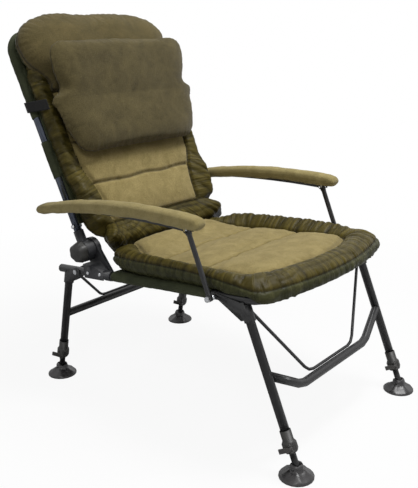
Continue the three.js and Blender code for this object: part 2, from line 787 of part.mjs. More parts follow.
function frontPivotBolt() {
  const inner = halfFrame - cheekOuter - touchGap;
  const strutReach = strutThick / 2 + touchGap;
  const [strutInner, strutOuter] = [channelSpread - strutReach, channelSpread + strutReach];
  return boltAcross(pivotBoltRadius, inner - pivotHeadThick, strutOuter + pivotHeadThick * 2, [
    [pivotHeadRadius - runGap, inner - pivotHeadThick, inner, hexSides],
    [pivotHeadRadius - runGap, halfFrame + cheekOuter + touchGap, strutInner, spacerSides],
    [pivotHeadRadius, strutOuter, strutOuter + pivotHeadThick * 2, roundSides]])
    .translate(0, -frontPivotAhead, 0);
}

// Leg frames: each leg is a tube welded into a folded bracket that turns on its bolt.
// A leg's own frame has its origin at the pivot and +Z up the leg.

function legPlan(frame, offset, lean) {
  const pivot = place(frame, 0, 0, 0);
  const pinDrop = (pivot.z + offset * Math.sin(rad(lean)) - pinHeight) / Math.cos(rad(lean));
  return { offset, lean, pinDrop, tubeEnd: pinDrop - collarAbovePin - collarHeight };
}

const frontPlan = legPlan(frontLegs, -frontLegOffset, -frontSplay);
const rearPlan = legPlan(rearLegs, rearLegOffset, rearSplay);
const frontBracket = { eye: frontEye, belly: frontBelly, webFrom: frontWebFrom, end: frontBracketEnd };
const rearWebFrom = rearLegOffset - cheekOuter;
const rearBracket = { eye: rearEye, belly: rearBelly, webFrom: rearWebFrom, end: rearBracketEnd };

// Underside of the rail along the leg, seen from the leg's own frame
function railUnderside(plan, y) {
  const slope = Math.tan(rad(plan.lean + railTilt));
  const drop = (tubeRadius + runGap) / Math.cos(rad(plan.lean + railTilt));
  return -Math.abs(y * slope) - drop;
}

function legTube(plan, bracket) {
  const toFoot = Math.sign(plan.offset);
  const outerEdge = plan.offset + toFoot * cheekOuter;
  const innerEdge = plan.offset - toFoot * cheekOuter;
  const [inner, outer] = [halfFrame - cheekOuter, halfFrame + cheekOuter];
  const low = -bracket.end + cheekOuter / 2;
  const top = railUnderside(plan, plan.offset + toFoot * tubeRadius);
  const cheekTop = railUnderside(plan, outerEdge) + tubeRadius;
  const shape = new THREE.Shape();
  shape.absarc(0, 0, bracket.eye, Math.PI / 2, Math.PI / 2 + toFoot * rad(eyeSweep), toFoot < 0);
  for (const corner of [bracket.belly, [innerEdge, low], [plan.offset, low], [plan.offset, cheekTop]]) {
    shape.lineTo(...corner);
  }
  const wrap = bar('z', cheekOuter, -bracket.end, cheekTop, [halfFrame, plan.offset]);
  const roomSides = [halfFrame - cheekInner, halfFrame + cheekInner];
  const room = plate(outline(bracketRoom(plan, bracket, innerEdge, low)), ...roomSides);
  const railRoom = plate(outline([
    [-toFoot * bracket.eye * 2, bracket.eye * 2],
    [-toFoot * bracket.eye * 2, low],
    [bracket.webFrom, low],
    [bracket.webFrom, railUnderside(plan, bracket.webFrom)],
    [outerEdge * 2, railUnderside(plan, outerEdge * 2)],
    [outerEdge * 2, bracket.eye * 2],
  ]), ...roomSides);
  const cheeks = cut(join(plate(shape, inner, outer), wrap), railRoom, room);
  const at = [halfFrame, plan.offset];
  const tube = bar('z', tubeRadius, -plan.tubeEnd, top, at, tubeSides);
  const inside = bar('z', boreRadius, -plan.tubeEnd - overrun, top - legCapBelow, at, tubeSides);
  return cut(join(cheeks, tube), inside, bore('x', pivotBoltRadius, inner, outer));
}

// The space inside the folded bracket, over its web and up to the leg
function bracketRoom(plan, bracket, innerEdge, low) {
  const webTop = cheekThick * 1.5;
  const [y, z] = bracket.belly;
  const share = (bracket.webFrom - y) / (innerEdge - y);
  return [
    [bracket.webFrom, bracket.eye],
    [bracket.webFrom, lerp(z, low, share) + webTop],
    [innerEdge, low + webTop],
    [plan.offset, low + webTop],
    [plan.offset, bracket.eye],
  ];
}

function crossBar(plan, drop, dip, middle) {
  const corners = [[-halfFrame, plan.offset, -drop], [halfFrame, plan.offset, -drop]];
  if (dip) corners.splice(1, 0, [-middle, plan.offset, -drop - dip], [middle, plan.offset, -drop - dip]);
  const levels = [-drop - tubeRadius * 4, -drop + tubeRadius * 4];
  const legs = [-halfFrame, halfFrame].map((x) => bar('z', tubeFit, ...levels, [x, plan.offset]));
  const beyond = [[-frameWidth, -halfFrame], [halfFrame, frameWidth]].map((ends) => block(...ends,
    plan.offset - tubeRadius * 2, plan.offset + tubeRadius * 2, ...levels));
  return cut(bentTube(new BentPath(corners, crossBend), tubeRadius), ...legs, ...beyond);
}

// A thin rod braces each frame from leg to leg past the cross bar
function braceRod(top, middle, low) {
  const path = new BentPath([
    [-halfFrame, ...top], [-middle, ...low], [middle, ...low], [halfFrame, ...top]], rodBend);
  const rod = bentTube(path, rodRadius, 0, rodSides);
  const [face, far] = [halfFrame - cheekOuter - touchGap, frameWidth];
  const ends = [[-far, -face], [face, far]].map(([x0, x1]) => block(x0, x1,
    top[0] - rodBend, top[0] + rodBend, top[1] - rodBend, top[1] + rodBend));
  return cut(rod, ...ends);
}

function legCollar(plan) {
  const [bottom, shoulder] = [-plan.pinDrop + collarAbovePin, -plan.tubeEnd];
  const at = [halfFrame, plan.offset];
  const sleeve = bar('z', tubeFit + sleeveWall, shoulder - overrun, shoulder + sleeveHeight, at);
  const clamp = new THREE.LatheGeometry([
    [0, bottom], [collarRadius * 0.82, bottom], [collarRadius, bottom + collarHeight * 0.25],
    [collarRadius, shoulder - collarHeight * 0.2], [collarRadius * 0.8, shoulder], [0, shoulder],
  ].map(([r, z]) => new THREE.Vector2(r, z)), 10).rotateX(Math.PI / 2).translate(...at, 0);
  const lugs = lugLevels(plan).map((z) => lug(plan, z));
  const tubeSeat = bar('z', tubeFit, shoulder - touchGap, shoulder + sleeveHeight + overrun, at, tubeSides);
  const inside = bar('z', innerLegRadius + touchGap, bottom - overrun, shoulder + overrun, at, tubeSides);
  const pinHole = bore('z', lockPinRadius, bottom, shoulder, lockPin(plan));
  return cut(join(sleeve, clamp, ...lugs), tubeSeat, inside, pinHole);
}

// The lever's pin stands between two lugs; the four locks all face the same way
function lockPin(plan) {
  const angle = rad(lockBearing);
  return [halfFrame + lockPinOut * Math.cos(angle), plan.offset + lockPinOut * Math.sin(angle)];
}

function lugLevels(plan) {
  const middle = -plan.pinDrop + collarAbovePin + collarHeight / 2;
  const half = lockKnuckleHeight / 2 + runGap;
  return [middle - half - lugHeight, middle + half];
}

function lug(plan, from) {
  const shape = new THREE.Shape().absarc(0, 0, lockKnuckle, -Math.PI / 2, Math.PI / 2);
  shape.lineTo(-lockPinOut * lugRootShare, lockKnuckle);
  shape.lineTo(-lockPinOut * lugRootShare, -lockKnuckle);
  const ear = new THREE.ExtrudeGeometry(shape, { depth: lugHeight, bevelEnabled: false, curveSegments: 5 });
  return ear.rotateZ(rad(lockBearing)).translate(...lockPin(plan), from);
}

function legLock(plan) {
  const [x, y] = lockPin(plan);
  const [low, high] = lugLevels(plan);
  const [from, to] = [low + lugHeight + runGap, high - runGap];
  const knuckle = bar('z', lockKnuckle, from, to, [x, y], holeSides);
  const lever = block(0, lockReach, lockKnuckle - lockThick, lockKnuckle, from, to)
    .rotateZ(rad(lockBearing - lockSwing)).translate(x, y, 0);
  const pin = bar('z', lockPinRadius, low - runGap * 2, high + lugHeight + runGap * 2, [x, y], holeSides);
  return join(knuckle, lever, pin);
}

// The inner leg slides in the leg's tube and ends in a ball with the foot's pin through it
function innerLeg(plan) {
  const at = [halfFrame, plan.offset];
  const pinZ = -plan.pinDrop;
  const stemAngle = Math.acos(stemRadius / ballRadius);
  const profile = [];
  for (let i = 0; i <= ballSteps; i += 1) {
    const angle = lerp(-Math.PI / 2, stemAngle, i / ballSteps);
    profile.push([i ? ballRadius * Math.cos(angle) : 0, ballRadius * Math.sin(angle)]);
  }
  const shoulder = collarAbovePin - footPinProud;
  const top = plan.pinDrop - plan.tubeEnd + innerLegInside;
  profile.push([stemRadius, shoulder], [innerLegRadius, shoulder], [innerLegRadius, top], [0, top]);
  const body = new THREE.LatheGeometry(profile.map(([r, z]) => new THREE.Vector2(r, z)), tubeSides)
    .rotateX(Math.PI / 2).translate(...at, pinZ);
  const reach = footHubRadius + footPinProud;
  const pinEnds = [halfFrame - reach, halfFrame + reach];
  return join(body, bar('x', footPinRadius, ...pinEnds, [plan.offset, pinZ], holeSides));
}

// A foot, level with the ground: a round plate with ridges running up to a ball cup
function foot(plan) {
  const around = footRidges * 4;
  const shares = [1, 1, 0.86, 0.62, 0.45];
  const rings = shares.map((share, k) => Array.from({ length: around }, (unused, i) => {
    const angle = (i / around) * Math.PI * 2;
    const ridge = Math.max(0, Math.cos(angle * footRidges + Math.PI)) ** 1.5;
    const dome = footRim + (footHubHeight * 0.5 - footRim) * ((1 - share) / 0.55) ** 1.3;
    const height = k === 0 ? 0 : dome + (k > 1 ? footRidgeHeight * ridge : 0);
    const radius = footRadius * share;
    return new THREE.Vector3(radius * Math.cos(angle), radius * Math.sin(angle), height - pinHeight);
  }));
  const hub = new THREE.LatheGeometry([
    [0, footRim], [footHubRadius, footRim], [footHubRadius, footHubHeight * 0.8],
    [footHubRadius * 0.82, footHubHeight], [0, footHubHeight],
  ].map(([r, z]) => new THREE.Vector2(r, z - pinHeight)), 10).rotateX(Math.PI / 2);
  const socketRadius = (ballRadius + runGap) / Math.cos(Math.PI / roundSides);
  const socket = new THREE.SphereGeometry(socketRadius, roundSides, ballSteps * 2);
  const reach = footHubHeight * 1.5;
  const room = stemRadius + runGap * 2;
  const swing = footTilt + footTiltRoom;
  const [low, high] = [swing, -swing].map((tilt) => rad(plan.lean + tilt));
  const mouth = plate(outline([
    [-room * Math.cos(low), -room * Math.sin(low)],
    [room * Math.cos(high), room * Math.sin(high)],
    [room * Math.cos(high) - reach * Math.sin(high), room * Math.sin(high) + reach * Math.cos(high)],
    [-room * Math.cos(low) - reach * Math.sin(low), -room * Math.sin(low) + reach * Math.cos(low)],
  ]), -ballRadius - runGap, ballRadius + runGap);
  const pinHole = bore('x', footPinRadius, -footHubRadius, footHubRadius);
  return cut(join(skin(rings), hub), socket, mouth, pinHole).translate(halfFrame, 0, 0);
}

// Soft parts

// A half outline through given widths, eased between them
function widthAt(stops, value) {
  const next = stops.findIndex(([at]) => at >= value);
  if (next <= 0) return stops.at(next)[1];
  const [[a, widthA], [b, widthB]] = [stops[next - 1], stops[next]];
  return lerp(widthA, widthB, smoothstep(value, a, b));
}

// How proud a channel stands between two seams, 0 at a seam and 1 halfway
function channelCrown(seams, value) {
  const next = seams.findIndex((seam) => seam > value);
  if (next <= 0) return 0;
  const share = (value - seams[next - 1]) / (seams[next] - seams[next - 1]);
  return Math.sin(Math.PI * share) ** 0.6;
}

// Places across a cushion as shares of its half width, closer together at the border
const acrossShares = [-1, -0.96, -0.88, -0.8, -0.74, -0.5, 0, 0.5, 0.74, 0.8, 0.88, 0.96, 1];
const underShares = [0.95, 0.6, 0, -0.6, -0.95];

function seatMattress() {
  const stops = [[-seatHemAhead, seatHalfWidth - seatHemWithin], [-seatFleeceFront, seatHalfWidth],
    [seatRiseFrom, seatHalfWidth - seatWaistWithin], [seatRear, seatRearHalfWidth]];
  const noseSteps = 5;
  const bodySteps = 15;
  const ys = [];
  for (let i = 0; i < noseSteps; i += 1) {
    ys.push(lerp(-seatHemAhead, -seatFleeceFront, (i / noseSteps) ** 1.5));
  }
  for (let i = 0; i <= bodySteps; i += 1) ys.push(lerp(-seatFleeceFront, seatRear, i / bodySteps));
  const rings = ys.map((y) => {
    const halfWidth = widthAt(stops, y);
    const nose = Math.max(0, (-seatFleeceFront - y) / (seatHemAhead - seatFleeceFront));
    const tail = Math.max(0, (y - seatRear + seatTailLength) / seatTailLength);
    const rise = seatRearRise * smoothstep(y, seatRiseFrom, seatRear);
    const base = seatFleeceHeight + rise;
    const crown = seatCrown * channelCrown(seatSeams, y) + seatNoseCrown * Math.sin(Math.PI * nose);
    const puffShare = smoothstep(y, -seatFleeceFront, seatPuffFullFrom);
    const puff = lerp(seatBorderFrontPuff, seatBorderPuff, puffShare);
    const rearShare = smoothstep(y, seatRiseFrom / 2, seatRear);
    const edgeShare = lerp(seatFleeceHalfWidth, seatFleeceRearHalfWidth, rearShare) / halfWidth;
    const middle = seatSideMid + rise * 0.6;
    const slim = Math.sqrt(Math.max(0.04, 1 - nose ** 3)) * Math.sqrt(Math.max(0.03, 1 - tail ** 2));
    const level = lerp(middle, seatHemHeight, nose);
    const bow = seatBow * smoothstep(-y, seatBowFrom, seatHemAhead);
    const point = (share, z) => new THREE.Vector3(share * halfWidth, y - bow * (1 - share ** 2), z);
    const topHeight = (share) => {
      const out = Math.abs(share);
      if (out <= edgeShare) return base + crown * (1 - (out / edgeShare) ** 4);
      const t = Math.min(1, (out - edgeShare) / (1 - edgeShare));
      return lerp(base, middle, t ** 2) + puff * Math.sin(Math.PI * t ** 0.9) ** 0.8;
    };
    const top = acrossShares.map((share) => point(share, lerp(level, topHeight(share), slim)));
    const under = slingShares.map((share) => {
      const x = -share * Math.min(halfFrame, halfWidth * 0.95);
      const outward = x / halfWidth;
      const rest = slingLevel(x, y - bow * (1 - outward ** 2)) + slingThick + seatRest;
      return point(outward, lerp(level, rest, slim));
    });
    return [...top, ...under];
  });
  return skin(rings);
}

// How far the mattress stands ahead of the posts at a height, without its channels
function restingDepth(z) {
  return lerp(restDepth, headDepth, smoothstep(z, headFrom, headFull));
}

function backMattress() {
  const cornerStart = backEnd - backCornerHeight;
  const steps = 22;
  const zs = Array.from({ length: steps + 1 }, (unused, i) => {
    const share = Math.sin((i / steps) * Math.PI * 0.5) ** 1.04;
    return lerp(backStart, backEnd, share);
  });
  const stops = [[backStart, backFootHalfWidth], [backFootTop, backFootHalfWidth],
    [backWaistLow, backWaistHalfWidth], [backWaistTop, backWaistHalfWidth],
    [backFullFrom, backHalfWidth], [headFull, backHalfWidth],
    [headFullFrom, headHalfWidth], [backEnd, headHalfWidth]];
  const rings = zs.map((z) => {
    const into = Math.max(0, (z - cornerStart) / backCornerHeight);
    const halfWidth = widthAt(stops, z) - backCornerWidth * (1 - Math.sqrt(Math.max(0, 1 - into ** 2)));
    const head = smoothstep(z, headFrom, headFull);
    const foot = Math.max(0, 1 - (z - backStart) / backFootRound);
    const nose = Math.max(0, (z - backEnd + backTopRound) / backTopRound);
    const slim = Math.sqrt(Math.max(0.02, 1 - foot ** 2)) * Math.sqrt(Math.max(0.02, 1 - nose ** 2));
    const crown = backCrown * channelCrown(backSeams, z);
    const edgeShare = lerp(backFleeceHalfWidth / halfWidth, 0.99, head);
    const middle = lerp(backSideMid, (headDepth + backRearDepth) / 2, head);
    const depth = (share) => {
      const out = Math.min(1, Math.abs(share));
      const flat = backFleeceDepth + crown * (1 - out ** 4);
      const t = Math.max(0, out - edgeShare) / (1 - edgeShare);
      const puff = backSidePuff * Math.sin(Math.PI * t ** 0.9) ** 0.8;
      const border = lerp(backFleeceDepth, backSideMid, t ** 2) + puff;
      const low = t > 0 ? Math.min(border, restDepth) : flat;
      const high = lerp(middle, headDepth, Math.sqrt(Math.max(0, 1 - out ** 5)));
      return lerp(low, high, head);
    };
    const point = (share, y) => new THREE.Vector3(share * halfWidth, -y, z);
    const front = acrossShares.map((share) => point(share, lerp(middle, depth(share), slim)));
    const rear = underShares.map((share) => point(share, lerp(middle, backRearDepth, slim)));
    return [...front, ...rear];
  });
  return skin(rings);
}

function headPillow() {
  const steps = 18;
  const rings = Array.from({ length: steps + 1 }, (unused, i) => {
    const share = (1 - Math.cos((Math.PI * i) / steps)) / 2;
    const z = lerp(pillowBottom, pillowTop, share);
    const halfWidth = halfFrame - widthAt(pillowInset, z);
    const middle = widthAt(pillowDepth, z);
    const rest = restingDepth(z) + pillowGap;
    const roundness = Math.sqrt(Math.max(0, 1 - (2 * share - 1) ** 4));
    const point = (across, depth) => new THREE.Vector3(across * halfWidth, -depth, z);
    const shape = (across) => (1 - Math.abs(across) ** 3.2) ** 0.6;
    const front = acrossShares.map((across) => point(across,
      middle + pillowEdge + pillowBulge * roundness * shape(across)));
    const rear = underShares.map((across) => point(across,
      lerp(middle - pillowEdge, rest, roundness * shape(across))));
    return [...front, ...rear];
  });
  return skin(rings);
}

function pillowStrap() {
  const path = new BentPath([
    [-strapHalfWidth, -strapAhead, 0], [-strapHalfWidth, strapBehind, 0],
    [strapHalfWidth, strapBehind, 0], [strapHalfWidth, -strapAhead, 0]], strapBehind / 2);
  const outer = path.stations.map(([at]) => new THREE.Vector2(at.x, at.y));
  const inner = path.stations.map(([at, heading]) => new THREE.Vector2(
    at.x + heading.y * strapThick, at.y - heading.x * strapThick));
  const band = new THREE.Shape([...outer, ...inner.reverse()]);
  const slope = new THREE.Matrix4().makeShear(0, 0, 0, strapSlope, 0, 0);
  return new THREE.ExtrudeGeometry(band, { depth: strapHigh - strapLow, bevelEnabled: false })
    .translate(0, 0, strapLow).applyMatrix4(slope);
}

// Assembly

addMesh(seat, 'seat_frame', seatFrame(), 'frame');
addPair(seat, 'rear_end_cap', endCap(), 'plastic');
addMesh(seat, 'seat_sling', seatSling(), 'cloth');
addMesh(seat, 'seat_mattress', seatMattress(), 'fleece');
addPair(seat, 'hinge_plate', hingePlate(), 'plastic');
addPair(seat, 'recline_stud', reclineStud(), 'bright');
addPair(seat, 'recline_knob', reclineKnob(), 'plastic');
addPair(seat, 'rear_leg_bolt', rearPivotBolt(), 'bright');
addPair(seat, 'front_leg_bolt', frontPivotBolt(), 'bright');

addMesh(back, 'back_frame', backFrame(), 'frame');
addPair(back, 'back_socket', backSocket(), 'plastic');
addPair(back, 'post_bolt', crossBolt(), 'bright');
addPair(back, 'arm_bolt', armBolt(), 'bright');
addMesh(back, 'back_sling', backSling(), 'cloth');
addMesh(back, 'back_mattress', backMattress(), 'fleece');
addMesh(back, 'head_pillow', headPillow(), 'pillow');
addMesh(back, 'pillow_strap', pillowStrap(), 'strap');

addPair(arms, 'arm_channel', armChannel(), 'frame');
addPair(arms, 'arm_pad', armPad(), 'fleece');
addPair(struts, 'arm_strut', strut(), 'frame');
addPair(struts, 'strut_bolt', strutBolt(), 'bright');

function addLegs(frame, end, plan, bracket) {
  addPair(frame, `${end}_leg`, legTube(plan, bracket), 'frame');
  const collar = legCollar(plan);
  const lock = legLock(plan);
  for (const [side, x] of [['left', 0], ['right', -frameWidth]]) {
    addMesh(frame, `${end}_collar_${side}`, moved(collar, x, 0, 0), 'plastic');
    addMesh(frame, `${end}_lock_${side}`, moved(lock, x, 0, 0), 'plastic');
  }
  addPair(frame, `${end}_inner_leg`, innerLeg(plan), 'frame');
  const level = addFrame(frame, plan.offset, -plan.pinDrop, -plan.lean);
  addPair(level, `${end}_foot`, foot(plan), 'plastic');
}

addLegs(frontLegs, 'front', frontPlan, frontBracket);
addLegs(rearLegs, 'rear', rearPlan, rearBracket);
const frontBar = crossBar(frontPlan, frontBarDrop, frontBarDip, frontBarMiddle);
addMesh(frontLegs, 'front_crossbar', frontBar, 'frame');
addMesh(rearLegs, 'rear_crossbar', crossBar(rearPlan, rearBarDrop, 0, 0), 'frame');
const rodRest = tubeRadius + rodRadius + touchGap;
const rodSeat = (angle) => [rodRest * Math.cos(rad(angle)), rodRest * Math.sin(rad(angle))];
const [frontRodBehind, frontRodAbove] = rodSeat(frontRodAngle);
const [rearRodBehind, rearRodAbove] = rodSeat(rearRodAngle);
addMesh(frontLegs, 'front_brace_rod', braceRod([-frontLegOffset, -frontRodTop], frontRodMiddle,
  [frontRodBehind - frontLegOffset, frontRodAbove - frontBarDrop - frontBarDip]), 'frame');
addMesh(rearLegs, 'rear_brace_rod', braceRod([rearLegOffset - rearRodAhead, -rearRodTop], rearRodMiddle,
  [rearRodBehind + rearLegOffset, rearRodAbove - rearBarDrop]), 'frame');

// The origin goes to the middle of the footprint, on the ground
chair.updateMatrixWorld(true);
const extent = new THREE.Box3().setFromObject(chair, true);
chair.position.set(0, -(extent.min.y + extent.max.y) / 2, -extent.min.z);

export default chair;
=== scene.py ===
# A folding fishing chair: powder-coated steel frame, padded fleece seat and back, strapped head pillow
import json
import math
from functools import partial

import bpy
import numpy as np
from mathutils import Matrix, Vector


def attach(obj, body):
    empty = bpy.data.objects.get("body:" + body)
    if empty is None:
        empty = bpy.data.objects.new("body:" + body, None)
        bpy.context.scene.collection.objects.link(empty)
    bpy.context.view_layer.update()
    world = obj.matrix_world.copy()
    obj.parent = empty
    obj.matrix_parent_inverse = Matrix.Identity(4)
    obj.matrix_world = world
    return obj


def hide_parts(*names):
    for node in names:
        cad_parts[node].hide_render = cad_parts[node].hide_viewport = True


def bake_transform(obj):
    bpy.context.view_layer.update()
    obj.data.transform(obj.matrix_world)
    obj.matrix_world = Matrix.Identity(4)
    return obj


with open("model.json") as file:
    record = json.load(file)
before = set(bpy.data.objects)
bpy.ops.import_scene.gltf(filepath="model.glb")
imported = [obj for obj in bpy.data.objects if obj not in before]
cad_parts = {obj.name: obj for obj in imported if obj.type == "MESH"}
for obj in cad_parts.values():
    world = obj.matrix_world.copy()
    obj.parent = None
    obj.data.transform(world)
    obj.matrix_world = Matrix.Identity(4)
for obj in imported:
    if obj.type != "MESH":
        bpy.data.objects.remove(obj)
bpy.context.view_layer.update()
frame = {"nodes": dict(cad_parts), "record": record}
NODES = frame["nodes"]
SIDES = ("left", "right")
MM = 0.001

# Where the seat and the back stand: the rails slope and the posts lean
RAIL_TILT = math.radians(5.09)
BACK_LEAN = math.radians(26)
SEAT_ORIGIN = np.array([0, -51.469, 370.6])
BACK_ORIGIN = np.array([0, 220.886, 407.582])


def turned(points, origin, lean):
    """Points of a leaning frame, in millimetres, as world points in metres"""
    x, y, z = np.asarray(points, float).reshape(-1, 3).T
    cos, sin = math.cos(lean), math.sin(lean)
    world = np.stack([x, y * cos + z * sin, z * cos - y * sin], 1)
    return (world + origin) * MM


def unturned(points, origin, lean):
    """World points in metres as points of a leaning frame, in millimetres"""
    x, y, z = (np.asarray(points, float).reshape(-1, 3) / MM - origin).T
    cos, sin = math.cos(lean), math.sin(lean)
    return np.stack([x, y * cos - z * sin, y * sin + z * cos], 1)


SEAT = (SEAT_ORIGIN, RAIL_TILT)
BACK = (BACK_ORIGIN, BACK_LEAN)


def set_fields(item, fields):
    for name, value in fields.items():
        setattr(item, name, value)


def new_object(name, data):
    item = bpy.data.objects.new(name, data)
    bpy.context.scene.collection.objects.link(item)
    return item


def deselect():
    if bpy.context.object and bpy.context.object.mode != "OBJECT":
        bpy.ops.object.mode_set(mode="OBJECT")
    bpy.ops.object.select_all(action="DESELECT")


def take_up(piece):
    deselect()
    piece.select_set(True)
    bpy.context.view_layer.objects.active = piece


def edit_whole(piece, operator, **settings):
    """Runs an operator of edit mode on all of a mesh"""
    take_up(piece)
    bpy.ops.object.mode_set(mode="EDIT")
    bpy.ops.mesh.select_all(action="SELECT")
    operator(**settings)
    bpy.ops.object.mode_set(mode="OBJECT")


def add_modifier(piece, name, kind, **fields):
    modifier = piece.modifiers.new(name, kind)
    set_fields(modifier, fields)
    return modifier


def finish_modifiers(piece):
    take_up(piece)
    for modifier in list(piece.modifiers):
        bpy.ops.object.modifier_apply(modifier=modifier.name)


# Materials: drawn in object coordinates, each pattern at its real size in millimetres

def linear(code):
    """An sRGB hex colour as linear light"""
    parts = [int(code[i:i + 2], 16) / 255 for i in (1, 3, 5)]
    return [c / 12.92 if c <= 0.04045 else ((c + 0.055) / 1.055) ** 2.4 for c in parts] + [1]


def add_node(tree, kind, inputs=None, stops=(), **fields):
    """Adds one node with its fields, its inputs (linked or set) and the stops of a colour ramp"""
    node = tree.nodes.new("ShaderNode" + kind)
    set_fields(node, fields)
    for socket, source in (inputs or {}).items():
        if isinstance(source, bpy.types.Node):
            source = source.outputs[0]
        if isinstance(source, bpy.types.NodeSocket):
            tree.links.new(source, node.inputs[socket])
        else:
            node.inputs[socket].default_value = linear(source) if isinstance(source, str) else source
    for number, (place, colour) in enumerate(stops):
        node.color_ramp.elements[number].position = place
        node.color_ramp.elements[number].color = linear(colour)
    return node


def per(size_mm):
    """The scale of a noise whose patches are about this wide"""
    return 1 / (size_mm * MM)


def bands(size_mm):
    """The scale of a wave whose bands are about this wide"""
    return 1 / (size_mm * MM) / 6.28


def start_tree(block):
    """Empties the node tree of a material or a world, and gives the call that adds a node to it"""
    block.use_nodes = True
    block.node_tree.nodes.clear()
    return partial(add_node, block.node_tree)


def start_material(name):
    material = bpy.data.materials.new(name)
    add = start_tree(material)
    return material, add, add("TexCoord").outputs["Object"]


def fleece(name, low, high, shade, nap_mm=3.0):
    """Brushed polyester fleece: a short matt nap, stroked lighter and darker in soft patches.
    The fibres are finer than a pixel, so their clumps are drawn a few millimetres wide."""
    material, add, place = start_material(name)
    stroke = add("TexNoise", {"Vector": place, "Scale": per(40), "Detail": 4, "Roughness": 0.62,
                              "Distortion": 0.7})
    clumps = add("TexNoise", {"Vector": place, "Scale": per(nap_mm), "Detail": 3, "Roughness": 0.7})
    both = add("Mix", {"Factor": 0.5, "A": stroke, "B": clumps}, data_type="FLOAT")
    nap = add("ValToRGB", {"Fac": both}, [(0.34, low), (0.66, high)])
    # Painted shade: where the points are marked as seams and folds, the colour is mixed towards the shade colour
    crease = add("Attribute", attribute_name="crease").outputs["Fac"]
    colour = add("Mix", {"Factor": crease, 6: nap, 7: shade}, data_type="RGBA")
    fibres = add("TexNoise", {"Vector": place, "Scale": per(1.3)})
    coarse = add("Bump", {"Height": clumps, "Distance": 1.1 * MM})
    normal = add("Bump", {"Height": fibres, "Distance": 0.5 * MM, "Normal": coarse})
    cloth = add("BsdfPrincipled", {"Base Color": colour.outputs[2], "Normal": normal, "Roughness": 1.0,
                                   "Specular IOR Level": 0.15, "Sheen Weight": 0.12,
                                   "Sheen Roughness": 0.5})
    add("OutputMaterial", {"Surface": cloth})
    return material


def satin(name, low, high, highlight_colour, shade):
    """Peach-finish polyester: closely woven, with a painted highlight on the crest of every fold of the gathers
    and painted shade in every fold and seam. Fine creases run across the border, from seam to hem. The threads
    are drawn coarser than life so that they show."""
    material, add, place = start_material(name)
    gather, run, reach, crease = (add("Attribute", attribute_name=key).outputs["Fac"]
                                  for key in ("gather", "run", "reach", "crease"))
    patches = add("TexNoise", {"Vector": place, "Scale": per(26), "Detail": 3, "Roughness": 0.55,
                               "Distortion": 0.4})
    drawn = add("CombineXYZ", {"X": run, "Y": reach})
    # run is in millimetres, so these creases are about 12 mm apart
    creases = add("TexNoise", {"Vector": drawn, "Scale": 0.085, "Detail": 3, "Roughness": 0.65,
                               "Distortion": 0.3})
    # Painted highlight: on the crests of the gathers, in streaks along the creases, the colour is mixed towards
    # the highlight colour
    crests = add("MapRange", {"Value": creases, "From Min": 0.36, "From Max": 0.7})
    lit = add("Math", {0: crests, 1: gather}, operation="MULTIPLY")
    plain = add("ValToRGB", {"Fac": patches}, [(0.3, low), (0.72, high)])
    lighter = add("Mix", {"Factor": lit, 6: plain, 7: highlight_colour}, data_type="RGBA")
    # Painted shade: in the folds and seams the colour is mixed towards the shade colour
    colour = add("Mix", {"Factor": crease, 6: lighter.outputs[2], 7: shade}, data_type="RGBA")
    threads = add("TexWave", {"Vector": place, "Scale": bands(1.3), "Distortion": 1.5})
    puckers = add("TexNoise", {"Vector": place, "Scale": per(14), "Detail": 3})
    normal = add("Bump", {"Height": threads.outputs["Fac"], "Distance": 0.05 * MM})
    normal = add("Bump", {"Height": creases, "Distance": 4.0 * MM, "Normal": normal})
    normal = add("Bump", {"Height": puckers, "Distance": 1.0 * MM, "Normal": normal})
    cloth = add("BsdfPrincipled", {"Base Color": colour.outputs[2], "Normal": normal, "Roughness": 0.46,
                                   "Specular IOR Level": 0.1})
    add("OutputMaterial", {"Surface": cloth})
    return material


def woven(name, low, high, thread_mm=1.6, roughness=0.75):
    """Plain-woven polyester: crossed threads, drawn a little coarser than life so that they show"""
    material, add, place = start_material(name)
    across, along = (add("TexWave", {"Vector": place, "Scale": bands(thread_mm)},
                         bands_direction=axis).outputs["Fac"] for axis in "XZ")
    crossed = add("Math", {0: across, 1: along}, operation="MAXIMUM")
    faded = add("TexNoise", {"Vector": place, "Scale": per(35), "Detail": 3})
    colour = add("ValToRGB", {"Fac": faded}, [(0.3, low), (0.7, high)])
    waves = add("TexNoise", {"Vector": place, "Scale": per(14)})
    slack = add("Bump", {"Height": waves, "Distance": 0.9 * MM})
    normal = add("Bump", {"Height": crossed, "Distance": 0.12 * MM, "Normal": slack})
    cloth = add("BsdfPrincipled", {"Base Color": colour, "Normal": normal, "Roughness": roughness,
                                   "Specular IOR Level": 0.2})
    add("OutputMaterial", {"Surface": cloth})
    return material


def powder_coat(name, low, high, roughness=0.4, metallic=0.0):
    """Powder-coated steel: an even dark skin with a fine orange peel, rubbed a little dull in places"""
    material, add, place = start_material(name)
    rubbed = add("TexNoise", {"Vector": place, "Scale": per(55), "Detail": 4, "Roughness": 0.6})
    colour = add("ValToRGB", {"Fac": rubbed}, [(0.3, low), (0.75, high)])
    rough = add("MapRange", {"Value": rubbed, "To Min": roughness - 0.06, "To Max": roughness + 0.1})
    peel = add("TexNoise", {"Vector": place, "Scale": per(1.6)})
    normal = add("Bump", {"Height": peel, "Distance": 0.08 * MM})
    coat = add("BsdfPrincipled", {"Base Color": colour, "Roughness": rough, "Normal": normal, "IOR": 1.5,
                                  "Metallic": metallic})
    add("OutputMaterial", {"Surface": coat})
    return material


